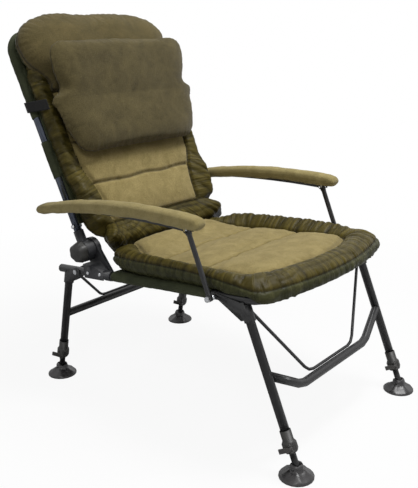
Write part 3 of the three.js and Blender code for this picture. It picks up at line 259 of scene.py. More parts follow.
def moulded(name, low, high, roughness=0.5):
    """Injection-moulded nylon: fine spark-eroded grain, a satin gloss, faint scuffs"""
    material, add, place = start_material(name)
    scuffs = add("TexNoise", {"Vector": place, "Scale": per(22), "Detail": 4, "Roughness": 0.65,
                              "Distortion": 0.5})
    colour = add("ValToRGB", {"Fac": scuffs}, [(0.3, low), (0.8, high)])
    rough = add("MapRange", {"Value": scuffs, "To Min": roughness - 0.08, "To Max": roughness + 0.12})
    grain = add("TexNoise", {"Vector": place, "Scale": per(0.9)})
    normal = add("Bump", {"Height": grain, "Distance": 0.07 * MM})
    body = add("BsdfPrincipled", {"Base Color": colour, "Roughness": rough, "Normal": normal, "IOR": 1.53})
    add("OutputMaterial", {"Surface": body})
    return material


def zinc(name):
    """Bright zinc plate on steel: fine turning marks and a slightly cloudy shine"""
    material, add, place = start_material(name)
    cloud = add("TexNoise", {"Vector": place, "Scale": per(6), "Detail": 3})
    colour = add("ValToRGB", {"Fac": cloud}, [(0.3, "#a4a6a8"), (0.75, "#d3d5d8")])
    rough = add("MapRange", {"Value": cloud, "To Min": 0.24, "To Max": 0.42})
    rings = add("TexWave", {"Vector": place, "Scale": bands(0.8)}, wave_type="RINGS", rings_direction="X")
    normal = add("Bump", {"Height": rings.outputs["Fac"], "Distance": 0.03 * MM})
    metal = add("BsdfPrincipled", {"Base Color": colour, "Roughness": rough, "Normal": normal,
                                   "Metallic": 1.0})
    add("OutputMaterial", {"Surface": metal})
    return material


STEEL = powder_coat("powder_coated_steel", "#131314", "#1f1f20")
POST_STEEL = powder_coat("powder_coated_posts", "#3d424c", "#565c69", 0.24, 0.75)
BLACK_NYLON = moulded("black_nylon_moulding", "#0e0f11", "#1c1d21")
GREY_NYLON = moulded("dark_grey_nylon_moulding", "#100f0d", "#201f1a")
FOOT_NYLON = moulded("foot_nylon_moulding", "#181617", "#2e2c2d", 0.36)
LEVER_NYLON = moulded("lever_nylon_moulding", "#1c1a18", "#33302d")
ZINC = zinc("zinc_plate")
# The last colour of each fleece and satin is the painted shade that seams and folds are mixed towards; the third
# colour of each satin is its painted highlight on the crests of the gathers
SEAT_FLEECE = fleece("seat_fleece", "#75683f", "#998a5c", "#2c2616")
PILLOW_FLEECE = fleece("pillow_fleece", "#3d3620", "#595033", "#19160d")
HEAD_FLEECE = fleece("head_panel_fleece", "#443d24", "#5d5233", "#1b180e")
ARM_FLEECE = fleece("arm_fleece", "#7c7047", "#9b8e60", "#2c2616", 2.4)
BORDER_SATIN = satin("border_satin", "#2a250d", "#3c3514", "#6f6330", "#0b0904")
BAND_SATIN = satin("side_band_satin", "#292a18", "#3b3c25", "#5f5d3a", "#0e0f07")
SLING_CLOTH = woven("sling_polyester", "#262a1a", "#3a3e2a")
STRAP_WEB = woven("elastic_webbing", "#090909", "#151413", 2.2, 0.7)


# Rigid pieces: each is a fair copy of its solid, with its facets smoothed

SAME_POINT_M = 2e-6
ROUNDED_BELOW = math.radians(38)
BODY_OF = {node: body for body, names in frame["record"]["behaviour"]["bodies"].items() for node in names}


def copy_of(node, name):
    """A copy of a solid's mesh in which neighbouring facets share their points"""
    piece = new_object(name, NODES[node].data.copy())
    edit_whole(piece, bpy.ops.mesh.remove_doubles, threshold=SAME_POINT_M)
    return piece


def fair_copy(node, material):
    piece = copy_of(node, node + "_faired")
    bpy.ops.object.shade_smooth_by_angle(angle=ROUNDED_BELOW)
    piece.data.materials.clear()
    piece.data.materials.append(material)
    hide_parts(node)
    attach(piece, BODY_OF[node])


RIGID = {
    "seat_frame": STEEL, "back_frame": POST_STEEL, "front_crossbar": STEEL, "rear_crossbar": STEEL,
    "front_brace_rod": STEEL, "rear_brace_rod": STEEL,
}
PAIRED = {
    "rear_end_cap": GREY_NYLON, "hinge_plate": BLACK_NYLON, "recline_stud": ZINC, "recline_knob": GREY_NYLON,
    "rear_leg_bolt": ZINC, "front_leg_bolt": ZINC, "back_socket": BLACK_NYLON, "post_bolt": ZINC,
    "arm_bolt": ZINC, "arm_channel": STEEL, "arm_strut": STEEL, "strut_bolt": ZINC,
    "front_leg": STEEL, "rear_leg": STEEL, "front_collar": GREY_NYLON, "rear_collar": GREY_NYLON,
    "front_lock": LEVER_NYLON, "rear_lock": LEVER_NYLON, "front_inner_leg": STEEL, "rear_inner_leg": STEEL,
    "front_foot": FOOT_NYLON, "rear_foot": FOOT_NYLON,
}
for stem, material in PAIRED.items():
    for side in SIDES:
        RIGID[f"{stem}_{side}"] = material
for node, material in RIGID.items():
    fair_copy(node, material)


def bolt_head(name, body, at_mm, radius_mm=4.6, height_mm=2.6):
    """A domed bolt head on a side of the frame, its axis across the chair. Half of it is in the plate."""
    deselect()
    bpy.ops.mesh.primitive_cylinder_add(vertices=32, radius=radius_mm * MM, depth=2 * height_mm * MM,
                                        location=[v * MM for v in at_mm], rotation=(0, math.pi / 2, 0))
    piece = bpy.context.object
    piece.name = name
    bpy.ops.object.transform_apply(location=True, rotation=True, scale=True)
    add_modifier(piece, "domed_edge", "BEVEL", width=0.45 * height_mm * MM, segments=3)
    finish_modifiers(piece)
    bpy.ops.object.shade_smooth_by_angle(angle=math.radians(40))
    piece.data.materials.append(ZINC)
    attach(piece, body)


# The bolts that clamp each hinge plate to its rail
for side, out in (("left", 1), ("right", -1)):
    bolt_head(f"plate_bolt_rear_{side}", "seat", (out * 277.3, 199.3, 351.9))
    bolt_head(f"plate_bolt_front_{side}", "seat", (out * 277.3, 152.1, 357.1))


# Soft pieces: closed skins of loops, swelled by a cloth simulation, then sewn and gathered

TABLE = np.random.default_rng(20).uniform(-1, 1, 4096)


def ripple(along, period, lane=0):
    """Smooth noise along a line: about one crest and one dip in each two periods"""
    at = np.asarray(along, float) / period + 37.0 * lane
    cell = np.floor(at).astype(int)
    t = at - cell
    t = t * t * (3 - 2 * t)
    return TABLE[cell % 4096] * (1 - t) + TABLE[(cell + 1) % 4096] * t


def smooth(value, low, high):
    """Rises softly from 0 at low to 1 at high, or falls where low is the greater"""
    t = np.clip((np.asarray(value, float) - low) / (high - low), 0, 1)
    return t * t * (3 - 2 * t)


def mixed(a, b, t):
    """a where t is 0 and b where t is 1"""
    return a + (b - a) * t


def along_stops(stops, value):
    """A value read off a list of places and values"""
    keys, values = np.array(stops, float).T
    return np.interp(value, keys, values)


def bell(value, width):
    """1 at 0, falling off on both sides over about the width"""
    return np.exp(-(np.asarray(value) / width) ** 2)


def nearest_on(outline, points):
    """For points in a plane: the signed distance inside a closed outline, and the place along it"""
    a = np.asarray(outline, float)
    edge = np.roll(a, -1, 0) - a
    length = np.hypot(*edge.T)
    start = np.concatenate([[0], np.cumsum(length)[:-1]])
    best = np.full(len(points), 1e9)
    place = np.zeros(len(points))
    inside = np.zeros(len(points), bool)
    x, y = points.T
    for i in range(len(a)):
        rel = points - a[i]
        t = np.clip((rel @ edge[i]) / max(length[i] ** 2, 1e-9), 0, 1)
        gap = np.hypot(*(rel - t[:, None] * edge[i]).T)
        closer = gap < best
        best[closer] = gap[closer]
        place[closer] = (start[i] + t * length[i])[closer]
        j = (i + 1) % len(a)
        crosses = (a[i, 1] > y) != (a[j, 1] > y)
        with np.errstate(divide="ignore", invalid="ignore"):
            cut = a[i, 0] + (y - a[i, 1]) * edge[i, 0] / edge[i, 1]
        inside ^= crosses & (x < cut)
    return np.where(inside, best, -best), place


def four_sides(half, low, high, arc=0.0, side=44):
    """A closed outline: right side down, low end bowed by arc, left side up, high end"""
    end = 36
    levels = np.linspace(high, low, side, endpoint=False)
    right = np.stack([half(levels), levels], 1)
    across = np.linspace(1, -1, end, endpoint=False)
    bottom = np.stack([across * half(low), low - arc * (1 - across ** 2)], 1)
    left = np.stack([-half(levels[::-1]), levels[::-1]], 1)
    top = np.stack([-across * half(high), np.full(end, high)], 1)
    return np.concatenate([right, bottom, left, top])


def eased(outline, passes):
    """The same outline with its corners rounded"""
    for _ in range(passes):
        outline = (np.roll(outline, 1, 0) + 2 * outline + np.roll(outline, -1, 0)) / 4
    return outline


BORDER_SHARES = (0, 0.03, 0.07, 0.12, 0.18, 0.25, 0.34, 0.44, 0.55, 0.66, 0.77, 0.88, 1)
PANEL_SHARES = (0.93, 0.84, 0.72, 0.58, 0.43, 0.28, 0.14, 0.04)


def cushion_skin(name, hem, seam, centre, face, rear, lift, to_world):
    """A closed skin: loops from the middle of the back to the hem, over the border to the seam,
    and on to the middle of the face"""
    plans = [(mixed(hem, seam, share), share) for share in BORDER_SHARES]
    plans += [(centre + (seam - centre) * share, 1.0) for share in PANEL_SHARES]
    loops = [lift(plan, rear(plan, share)) for plan, share in reversed(plans)]
    loops += [lift(plan, face(plan, share)) for plan, share in plans]
    return skin_of(name, loops, to_world)


def grid_faces(rows, columns, first=0, ring=False):
    """The faces between rows of points; in a ring the last column joins the first"""
    faces = []
    for r in range(rows - 1):
        a, b = first + r * columns, first + (r + 1) * columns
        for c in range(columns if ring else columns - 1):
            d = (c + 1) % columns
            faces.append((a + c, a + d, b + d, b + c))
    return faces


def skin_of(name, rings, to_world):
    """A closed mesh through equal rings, capped at both ends"""
    count = len(rings[0])
    points = np.concatenate([np.asarray(ring, float) for ring in rings])
    faces = grid_faces(len(rings), count, ring=True)
    faces.append(tuple(range(count))[::-1])
    faces.append(tuple((len(rings) - 1) * count + i for i in range(count)))
    return mesh_piece(name, turned(points, *to_world), faces)


def mesh_piece(name, points, faces):
    mesh = bpy.data.meshes.new(name)
    mesh.from_pydata([tuple(p) for p in points], [], faces)
    piece = new_object(name, mesh)
    edit_whole(piece, bpy.ops.mesh.normals_make_consistent, inside=False)
    return piece


def triples(items, field):
    values = np.empty(len(items) * 3)
    items.foreach_get(field, values)
    return values.reshape(-1, 3)


def get_points(piece):
    return triples(piece.data.vertices, "co")


def get_normals(piece):
    return triples(piece.data.vertex_normals, "vector")


def set_points(piece, points):
    piece.data.vertices.foreach_set("co", np.asarray(points, float).ravel())
    piece.data.update()


FILLING = {"quality": 4, "mass": 0.3, "use_pressure": True, "uniform_pressure_force": 4.0,
           "tension_stiffness": 30, "compression_stiffness": 30, "bending_stiffness": 0.6}
FILL_FRAMES = 16


def filled(piece, voxel_mm, cap_mm):
    """Swells a closed cloth skin with its filling; no point moves further than the cap"""
    add_modifier(piece, "even_cloth", "REMESH", mode="VOXEL", voxel_size=voxel_mm * MM)
    finish_modifiers(piece)
    before = get_points(piece)
    cloth = add_modifier(piece, "filling", "CLOTH")
    set_fields(cloth.settings, FILLING)
    cloth.settings.effector_weights.gravity = 0
    cloth.collision_settings.use_collision = False
    scene = bpy.context.scene
    for number in range(1, FILL_FRAMES + 1):
        scene.frame_set(number)
    finish_modifiers(piece)
    scene.frame_set(1)
    after = get_points(piece)
    if len(after) == len(before):
        move = after - before
        far = np.linalg.norm(move, axis=1, keepdims=True)
        allowed = cap_mm * MM * np.tanh(far / (cap_mm * MM))
        set_points(piece, before + move / np.maximum(far, 1e-12) * allowed)
    add_modifier(piece, "fine_cloth", "SUBSURF", levels=1, render_levels=1)
    finish_modifiers(piece)


def note(piece, **notes):
    """Writes values on the points, for the materials to read"""
    for name, values in notes.items():
        attribute = piece.data.attributes.new(name, "FLOAT", "POINT")
        attribute.data.foreach_set("value", np.asarray(values, np.float32))


def face_mean(piece, values):
    """The mean of a point value on each face"""
    count = len(piece.data.polygons)
    total = np.empty(count, np.int32)
    piece.data.polygons.foreach_get("loop_total", total)
    loops = np.empty(len(piece.data.loops), np.int32)
    piece.data.loops.foreach_get("vertex_index", loops)
    owner = np.repeat(np.arange(count), total)
    return np.bincount(owner, values[loops], count) / total


def dress(piece, materials, choice=None):
    """Gives each face the material that is chosen for it, or the first one"""
    count = len(piece.data.polygons)
    piece.data.materials.clear()
    for material in materials:
        piece.data.materials.append(material)
    piece.data.polygons.foreach_set("material_index", np.zeros(count, np.int32) if choice is None
                                    else np.asarray(choice, np.int32))
    piece.data.polygons.foreach_set("use_smooth", np.ones(count, bool))
    piece.data.update()


def soft_step(piece, move_mm):
    """Moves each point along its own normal"""
    points, normals = get_points(piece), get_normals(piece)
    set_points(piece, points + normals * (np.asarray(move_mm)[:, None] * MM))


def gathers(along, across, pitch, lane):
    """Folds of drawn-in cloth, from -1 to 1: round crests and sharp valleys that slant and fork"""
    slant = 0.9 * pitch * ripple(along, 4 * pitch, lane + 1)
    fine = (along + slant * across) / pitch + 0.9 * ripple(along, 3.1 * pitch, lane)
    wide = (along - 1.4 * slant * across) / (2.4 * pitch) + 0.8 * ripple(along, 7 * pitch, lane + 2)
    folds = 0.55 * np.abs(np.sin(math.pi * fine)) ** 0.75 + 0.45 * np.abs(np.sin(math.pi * wide)) ** 0.8
    return (1.9 * folds - 1.2) * (0.75 + 0.25 * ripple(along, 6 * pitch, lane + 3))


def place_soft(piece, body, node):
    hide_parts(node)
    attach(piece, body)


# What the seat and the back share: a puffed border round a panel that is sewn across

def channels(at, edges, fullness):
    """0 on each seam of a panel and 1 halfway between two of them"""
    low, high = edges[:2]
    for edge, further in zip(edges[1:], edges[2:]):
        low, high = np.where(at < edge, low, edge), np.where(at < edge, high, further)
    return np.sin(math.pi * np.clip((at - low) / (high - low), 0, 1)) ** fullness


def border_share(inner, outer):
    """0 at the hem of a border and 1 at its seam, from the distances inside both"""
    within = np.maximum(outer, 0)
    return np.clip(within / np.maximum(within - np.minimum(inner, 0), 1), 0, 1)


def border_swell(share):
    return np.sin(math.pi * np.clip(share * 0.86 + 0.14, 0, 1)) ** 0.6


def sewn(at, seams, x, panel, depth_mm, width_mm, lane):
    """The moves of the seams across a panel, with small puckers beside them, and the painted shade along them"""
    offs = [at - line - 2.5 * ripple(x, 70, lane + 5) for line in seams]
    move = sum(0.8 * bell(off, 18) * ripple(x, 12, lane) - depth_mm * bell(off, width_mm) for off in offs)
    return move * panel, 0.75 * panel * sum(bell(off, 2.8) for off in offs)


# Seat cushion: a gathered satin border round three channels of fleece, with its front hem
# hanging over the front tube

SEAT_FRONT, SEAT_REAR, SEAT_BOW = -323, 205, 47
SEAT_SEAMS = (-108, 50)
SLING_FRONT, SLING_SAG, SLING_SAG_FROM, SLING_LEVEL = 330, 13, 120, 11.5
HALF_FRAME = 262
TUBE_TOP = 13.5
TUCK_PITCH = 58


def seat_half(y):
    return along_stops([(-323, 281), (-290, 285), (-100, 283), (60, 279), (140, 264), (205, 226)], y)


def seat_fleece_half(y):
    return mixed(211, 158, smooth(y, 47, 205))


def seat_fleece_front(x):
    return -252 - 46 * (1 - np.clip(np.abs(x) / 205, 0, 1) ** 2)


def seat_seam_level(y):
    return 31 + 29 * smooth(y, 85, 203)


def sling_level(x, y):
    across = (1 + np.cos(math.pi * np.minimum(1, np.abs(x) / HALF_FRAME))) / 2
    along = np.clip((SLING_FRONT + y) / (SLING_FRONT - SLING_SAG_FROM), 0, 1)
    return SLING_LEVEL - SLING_SAG * across * along


def seat_crest(y):
    return along_stops([(-370, 42), (-300, 45), (-250, 48), (-200, 54), (-120, 61), (0, 68), (100, 73),
                        (150, 73), (205, 54)], y)


def seat_hem_level(y):
    return along_stops([(-330, 1), (-290, 5), (-245, 16), (-200, 26), (-120, 36), (0, 38), (60, 37), (140, 32),
                        (205, 30)], y)


STEEP_RISE = [(0, 0), (0.03, 0.45), (0.07, 0.7), (0.12, 0.9), (0.18, 0.98), (0.24, 1), (1, 1)]
STEEP_FALL = [(0, 0), (0.24, 0), (0.4, 0.14), (0.55, 0.33), (0.7, 0.54), (0.85, 0.78), (1, 1)]
BROAD_RISE = [(0, 0), (0.03, 0.3), (0.07, 0.47), (0.17, 0.69), (0.3, 0.87), (0.49, 0.97), (0.64, 1), (1, 1)]
BROAD_FALL = [(0, 0), (0.64, 0), (0.78, 0.2), (0.9, 0.66), (1, 1)]


def over_border(share, hem, crest, seam, broad=0.0):
    """Height across a puffed border: it rises from the hem, crests and dips to the seam"""
    rise = mixed(along_stops(STEEP_RISE, share), along_stops(BROAD_RISE, share), broad)
    fall = mixed(along_stops(STEEP_FALL, share), along_stops(BROAD_FALL, share), broad)
    return mixed(mixed(hem, crest, rise), seam, fall)


def seat_face(plan, share):
    x, y = plan.T
    seam = seat_seam_level(y)
    if share < 1:
        width = smooth(y, 206, 165)
        crest = mixed(seam + 3, seat_crest(y), width)
        hem = mixed(44, seat_hem_level(y), smooth(y, 206, 190))
        return over_border(share, hem, crest, seam, smooth(-y, 225, 290))
    out = np.abs(x) / seat_fleece_half(y)
    puffs = channels(y, (seat_fleece_front(x), *SEAT_SEAMS, SEAT_REAR), 0.5)
    return seam + 17 * puffs * np.clip(1 - out ** 6, 0, 1) ** 0.7


def seat_rear_face(plan, share):
    """The underside: a skirt that hangs before the front tube, and sides that curl up off the rails"""
    x, y = plan.T
    rest = sling_level(x, y) + 3 + 4 * smooth(y, 150, 205)
    hem = mixed(38, seat_hem_level(y), smooth(y, 206, 190))
    low = mixed(-9, TUBE_TOP, smooth(y, -318, -285))
    under = along_stops([(0, 0), (0.03, 0.55), (0.07, 0.95), (0.1, 1)], share)
    skirt = mixed(mixed(hem, low, under), rest, smooth(share, 0.12, 0.2))
    curl = mixed(hem - 9 * under, rest, smooth(share, 0.06, 0.36))
    return mixed(np.maximum(curl, TUBE_TOP), skirt, smooth(-y, 225, 285))


def lie(plan, height):
    """Points of the seat: a plan of x and y, and a height"""
    return np.column_stack([plan, height])


def make_seat():
    hem = four_sides(seat_half, SEAT_FRONT, SEAT_REAR, SEAT_BOW)
    seam = eased(four_sides(seat_fleece_half, -252, 201, 46), 5)
    piece = cushion_skin("seat_cushion", hem, seam, np.array([0.0, -30.0]), seat_face, seat_rear_face,
                         lie, SEAT)
    filled(piece, 5.3, 6)
    local = unturned(get_points(piece), *SEAT)
    x, y, z = local.T
    inner, round_inner = nearest_on(seam, local[:, :2])
    outer, round_outer = nearest_on(hem, local[:, :2])
    up = get_normals(piece)[:, 2]
    top = smooth(up, -0.2, 0.25)
    share = border_share(inner, outer)
    border = smooth(-inner, 0, 3)
    panel = smooth(inner, -1, 3) * smooth(up, 0.1, 0.5)
    front = smooth(-y, 235, 300)
    rear = smooth(y, 150, 190)
    # Painted shade: the seams across the panel and the seam round the fleece are darkened in colour
    move, dark = sewn(y, SEAT_SEAMS, x, panel, 8.0, 4.2, 4)
    move -= 7.5 * bell(inner, 5.5) * top * (1 - 0.6 * rear)
    dark += 0.6 * bell(inner + 1.5, 2.4) * top
    move += 1.1 * bell(inner - 13, 11) * ripple(round_inner, 13, 5) * panel
    move += 1.6 * ripple(x + 0.3 * y, 75, 6) * panel
    folds = gathers(round_inner + 10 * share, share, 16, 10)
    wide = gathers(round_inner + 22 * share, share, 37, 14)
    lengthwise = gathers(72 * share + 9 * ripple(round_inner, 60, 17), 0.01 * round_inner, 20, 18)
    corner = bell(np.hypot(np.abs(x) - 235, y + 275), 62)
    on_sides = mixed(folds, wide, 0.25 + 0.55 * smooth(share, 0.3, 1))
    on_front = mixed(0.6 * lengthwise + 0.25 * wide, wide, corner)
    tight = mixed(on_sides, on_front, front)
    move += (mixed(5.4, 5.5, front) + 4 * corner) * border_swell(share) * border * top * tight
    # Painted shade in the valleys of the gathers
    dark += 0.6 * smooth(-tight, 0.05, 0.8) * border * top
    wall = (1 - smooth(up, 0.05, 0.5)) * smooth(up, -0.95, -0.5) * smooth(-inner, 15, 30)
    band = gathers(round_outer, 0.01 * z, 30, 20)
    move += 2.4 * wall * band
    # Painted shade in the valleys of the side band's folds
    dark += 0.35 * wall * smooth(-band, -0.2, 0.6)
    # A seam runs round the edge, where the border meets the side band, with painted shade in its groove
    edge_level = mixed(seat_hem_level(y), seat_crest(y), 0.54)
    lip = (z - edge_level) * smooth(-inner, 20, 32)
    outside = inner < -20
    at_edge = (1 - smooth(share, 0.15, 0.3)) * outside
    move -= 2.6 * bell(lip, 3.2) * at_edge
    dark += 0.7 * bell(lip, 2.2) * at_edge
    tucks = np.clip(np.cos(2 * math.pi * round_outer / TUCK_PITCH) - 0.86, 0, 1) / 0.14
    move -= 3.2 * tucks * bell(lip - 5, 8) * outside * front
    soft_step(piece, move)
    # For the materials: painted highlight on the crests of the gathers, and painted shade in the folds and seams
    note(piece, gather=smooth(tight, -0.5, 0.9) * border * top,
         run=np.where(inner < 0, round_inner, round_outer), reach=share, crease=np.clip(dark, 0, 1))
    side, level, tilt = face_mean(piece, inner), face_mean(piece, lip), face_mean(piece, up)
    in_band = (level < 0) & (tilt < 0.75) | (tilt < -0.2)
    choice = np.where((side > 0) & (tilt > 0.1), 0, np.where(in_band, 2, 1))
    dress(piece, [SEAT_FLEECE, BORDER_SATIN, BAND_SATIN], choice)
    place_soft(piece, "seat", "seat_mattress")


make_seat()

# Back cushion: the same border round three channels, its head end hidden under the head panel

BACK_LOW, BACK_HIGH = 8, 575
BACK_SEAMS = (163, 285)
BACK_PANEL_LOW, HEAD_PANEL_LOW = 46, 430
BACK_SEAM_DEPTH, BACK_REAR_DEPTH = 44, 14.5


def back_half(z):
    return along_stops([(8, 218), (34, 244), (66, 260), (150, 260), (207, 268), (480, 270), (510, 262),
                        (575, 246)], z)


def back_fleece_half(z):
    return along_stops([(44, 176), (117, 181), (166, 192), (200, 211), (240, 216), (430, 216)], z)


def back_face(plan, share):
    x, z = plan.T
    if share < 1:
        low_end, high_end = smooth(z, 60, 30), smooth(z, 400, 510)
        crest = mixed(mixed(mixed(69, 55, smooth(z, 140, 195)), 46, low_end), 42, high_end)
        return over_border(share, 34, crest, BACK_SEAM_DEPTH)
    out = np.abs(x) / back_fleece_half(z)
    puffs = channels(z, (BACK_PANEL_LOW, *BACK_SEAMS, HEAD_PANEL_LOW), 0.55)
    return BACK_SEAM_DEPTH + 11 * puffs * np.clip(1 - out ** 5, 0, 1)


def back_rear_face(plan, share):
    under = along_stops([(0, 0), (0.03, 0.5), (0.07, 0.85), (0.12, 1)], share)
    return np.full(len(plan), mixed(34, BACK_REAR_DEPTH, under))


def stand(plan, depth):
    """Points of the back: a plan of x and z, and a depth ahead of the posts"""
    return np.column_stack([plan[:, 0], -depth, plan[:, 1]])


def ahead_of(piece):
    """How far each point faces forward from the back"""
    return -(get_normals(piece) @ np.array([0, math.cos(BACK_LEAN), -math.sin(BACK_LEAN)]))


def make_back():
    hem = eased(four_sides(back_half, BACK_LOW, BACK_HIGH), 3)
    seam = eased(four_sides(back_fleece_half, BACK_PANEL_LOW, 520), 2)
    piece = cushion_skin("back_cushion", hem, seam, np.array([0.0, 280.0]), back_face, back_rear_face,
                         stand, BACK)
    filled(piece, 5.3, 6)
    local = unturned(get_points(piece), *BACK)
    x, y, z = local.T
    plan = local[:, [0, 2]]
    inner, round_inner = nearest_on(seam, plan)
    outer, round_outer = nearest_on(hem, plan)
    ahead = ahead_of(piece)
    front = smooth(ahead, -0.2, 0.25)
    share = border_share(inner, outer)
    border = smooth(-inner, 0, 3)
    panel = smooth(inner, -1, 3) * smooth(ahead, 0.1, 0.5)
    # Painted shade: the seams across the panel and the seam round the fleece are darkened in colour
    move, dark = sewn(z, BACK_SEAMS, x, panel, 6.0, 5, 24)
    move -= 7.0 * bell(inner, 5.5) * front
    dark += 0.45 * bell(inner + 1.5, 2.2) * front
    move += 1.1 * bell(inner - 13, 11) * ripple(round_inner, 14, 25) * panel
    move += 1.5 * ripple(x - 0.4 * z, 80, 26) * panel
    folds = gathers(round_inner + 26 * share, 2.6 * share, 23, 40)
    wide = gathers(round_inner + 40 * share, 2.2 * share, 58, 44)
    loose = 0.5 + 0.5 * ripple(round_inner, 90, 47)
    tight = (0.15 + 0.3 * loose) * folds + 0.65 * wide
    move += 6.0 * border_swell(share) * border * front * tight * smooth(z, 40, 75)
    # Painted shade in the valleys of the gathers
    dark += 0.6 * smooth(-tight, 0.1, 0.8) * border * front
    wall = (1 - smooth(np.abs(ahead), 0.3, 0.7)) * smooth(-inner, 15, 30)
    move += 2.4 * wall * gathers(round_outer, -0.02 * y, 22, 50)
    soft_step(piece, move)
    # For the materials: painted highlight on the crests of the gathers, and painted shade in the folds and seams
    note(piece, gather=smooth(tight, -0.5, 0.9) * border * front,
         run=np.where(inner < 0, round_inner, round_outer), reach=share, crease=np.clip(dark, 0, 1))
    side, facing = face_mean(piece, inner), face_mean(piece, ahead)
    choice = np.where(facing < -0.3, 2, np.where((side > 0) & (facing > 0.1), 0, 1))
    dress(piece, [SEAT_FLEECE, BORDER_SATIN, BAND_SATIN], choice)
    place_soft(piece, "back", "back_mattress")


make_back()

# Head panel: a thick fleece cap sewn over the top of the back

HEAD_LOW, HEAD_HIGH = 425, 656
HEAD_HALVES = [(425, 236), (440, 230), (452, 228), (468, 234), (486, 247), (501, 262), (520, 272), (545, 281),
               (585, 280), (602, 271), (615, 261), (630, 243), (641, 222), (650, 190), (656, 130)]
HEAD_RIMS = [(425, 62), (500, 52), (560, 46), (656, 52)]
HEAD_CRESTS = [(425, 76), (480, 82), (540, 94), (600, 97), (656, 88)]


def head_face(plan, share):
    z = plan[:, 1]
    return mixed(along_stops(HEAD_RIMS, z), along_stops(HEAD_CRESTS, z), (1 - (1 - share) ** 2.6) ** 0.6)


def head_rear_face(plan, share):
    under = along_stops([(0, 0), (0.05, 0.45), (0.12, 0.8), (0.25, 1)], share)
    return mixed(along_stops(HEAD_RIMS, plan[:, 1]), 15, under)


def make_head():
    rim = eased(four_sides(partial(along_stops, HEAD_HALVES), HEAD_LOW, HEAD_HIGH), 2)
    centre = np.array([0.0, 545.0])
    piece = cushion_skin("head_panel", rim, centre + (rim - centre) * 0.62, centre, head_face, head_rear_face,
                         stand, BACK)
    filled(piece, 5.3, 8)
    local = unturned(get_points(piece), *BACK)
    x, y, z = local.T
    edge, along = nearest_on(rim, local[:, [0, 2]])
    ahead = ahead_of(piece)
    front = smooth(ahead, -0.3, 0.2)
    rim_line = -y - along_stops(HEAD_RIMS, z)
    near = bell(edge, 24)
    move = 2.2 * near * gathers(along, 0.01 * edge, 22, 30) + 1.0 * near * ripple(along, 9, 31)
    move += 2.4 * ripple(x + 0.5 * z, 90, 32) + 1.4 * ripple(z - 0.3 * x, 46, 33)
    move -= 2.6 * bell(rim_line, 4) * bell(edge, 8)
    low = smooth(z, 520, 470) * bell(edge - 10, 12) * front
    move += 1.6 * low * gathers(along, 0.02 * edge, 16, 34)
    soft_step(piece, move)
    # Painted shade along the seam round the rim
    note(piece, crease=np.clip(0.9 * bell(rim_line, 3.5) * bell(edge, 9), 0, 1))
    choice = np.where(face_mean(piece, ahead) < -0.35, 1, 0)
    dress(piece, [HEAD_FLEECE, BAND_SATIN], choice)
    place_soft(piece, "back", "back_mattress")


make_head()

# Head pillow: a plump fleece pillow whose waist the strap draws in, with a wing on each side

PILLOW_LOW, PILLOW_HIGH = 236, 545
PILLOW_HALVES = [(236, 198), (240, 210), (248, 223), (265, 236), (292, 248), (317, 257), (350, 268), (383, 281),
                 (394, 278), (403, 262), (413, 249), (430, 248), (455, 255), (490, 259), (520, 255), (537, 242),
                 (545, 216)]
PILLOW_MIDDLES = [(236, 82), (385, 90), (430, 106), (480, 119), (530, 133), (545, 136)]
# Its rear keeps clear of the back's padding, also when the pillow slides down
PILLOW_REARS = [(236, 66.5), (380, 72.5), (440, 90.5), (500, 103.5), (545, 108.5)]


def pillow_face(plan, share):
    return along_stops(PILLOW_MIDDLES, plan[:, 1]) + 1 + 27 * (1 - (1 - share) ** 2.3) ** 0.62


def pillow_rear_face(plan, share):
    z = plan[:, 1]
    return mixed(along_stops(PILLOW_MIDDLES, z) - 1, along_stops(PILLOW_REARS, z), 1 - (1 - share) ** 2)


def make_pillow():
    rim = eased(four_sides(partial(along_stops, PILLOW_HALVES), PILLOW_LOW, PILLOW_HIGH, side=60), 2)
    centre = np.array([0.0, 385.0])
    piece = cushion_skin("head_cushion", rim, centre + (rim - centre) * 0.6, centre, pillow_face, pillow_rear_face,
                         stand, BACK)
    filled(piece, 4.8, 6)
    local = unturned(get_points(piece), *BACK)
    x, y, z = local.T
    edge, along = nearest_on(rim, local[:, [0, 2]])
    near = bell(edge, 20)
    rim_line = -y - along_stops(PILLOW_MIDDLES, z)
    move = 1.1 * near * gathers(along, 0.01 * edge, 24, 60) + 0.7 * near * ripple(along, 9, 61)
    move += 2.0 * ripple(x + 0.5 * z, 85, 62) + 1.3 * ripple(z - 0.4 * x, 60, 63)
    move -= 2.6 * bell(rim_line, 3.4) * bell(edge, 8)
    move += 1.1 * bell(np.abs(rim_line) - 6, 3.5) * bell(edge, 9)
    waist = bell(z - 402 + 0.15 * np.abs(x), 24) * smooth(np.abs(x), 190, 262)
    move -= 5.0 * waist
    soft_step(piece, move)
    # Painted shade along the seam round the rim
    note(piece, crease=np.clip(0.9 * bell(rim_line, 3) * bell(edge, 9), 0, 1))
    dress(piece, [PILLOW_FLEECE])
    place_soft(piece, "headrest", "head_pillow")


make_pillow()

# The satin roll that closes the crease: it hangs from the back and tucks in behind the seat

# Depth ahead of the posts and height, round its section
ROLL = [(20, 60), (44, 58), (56, 48), (67, 36), (73, 20), (71, 4), (62, -10), (50, -19), (42, -30), (34, -42),
        (24, -50), (16, -46), (15, -20), (15, 10), (15, 40)]
ROLL_HALVES = [(-50, 203), (-13, 212), (15, 216), (34, 214), (60, 206)]


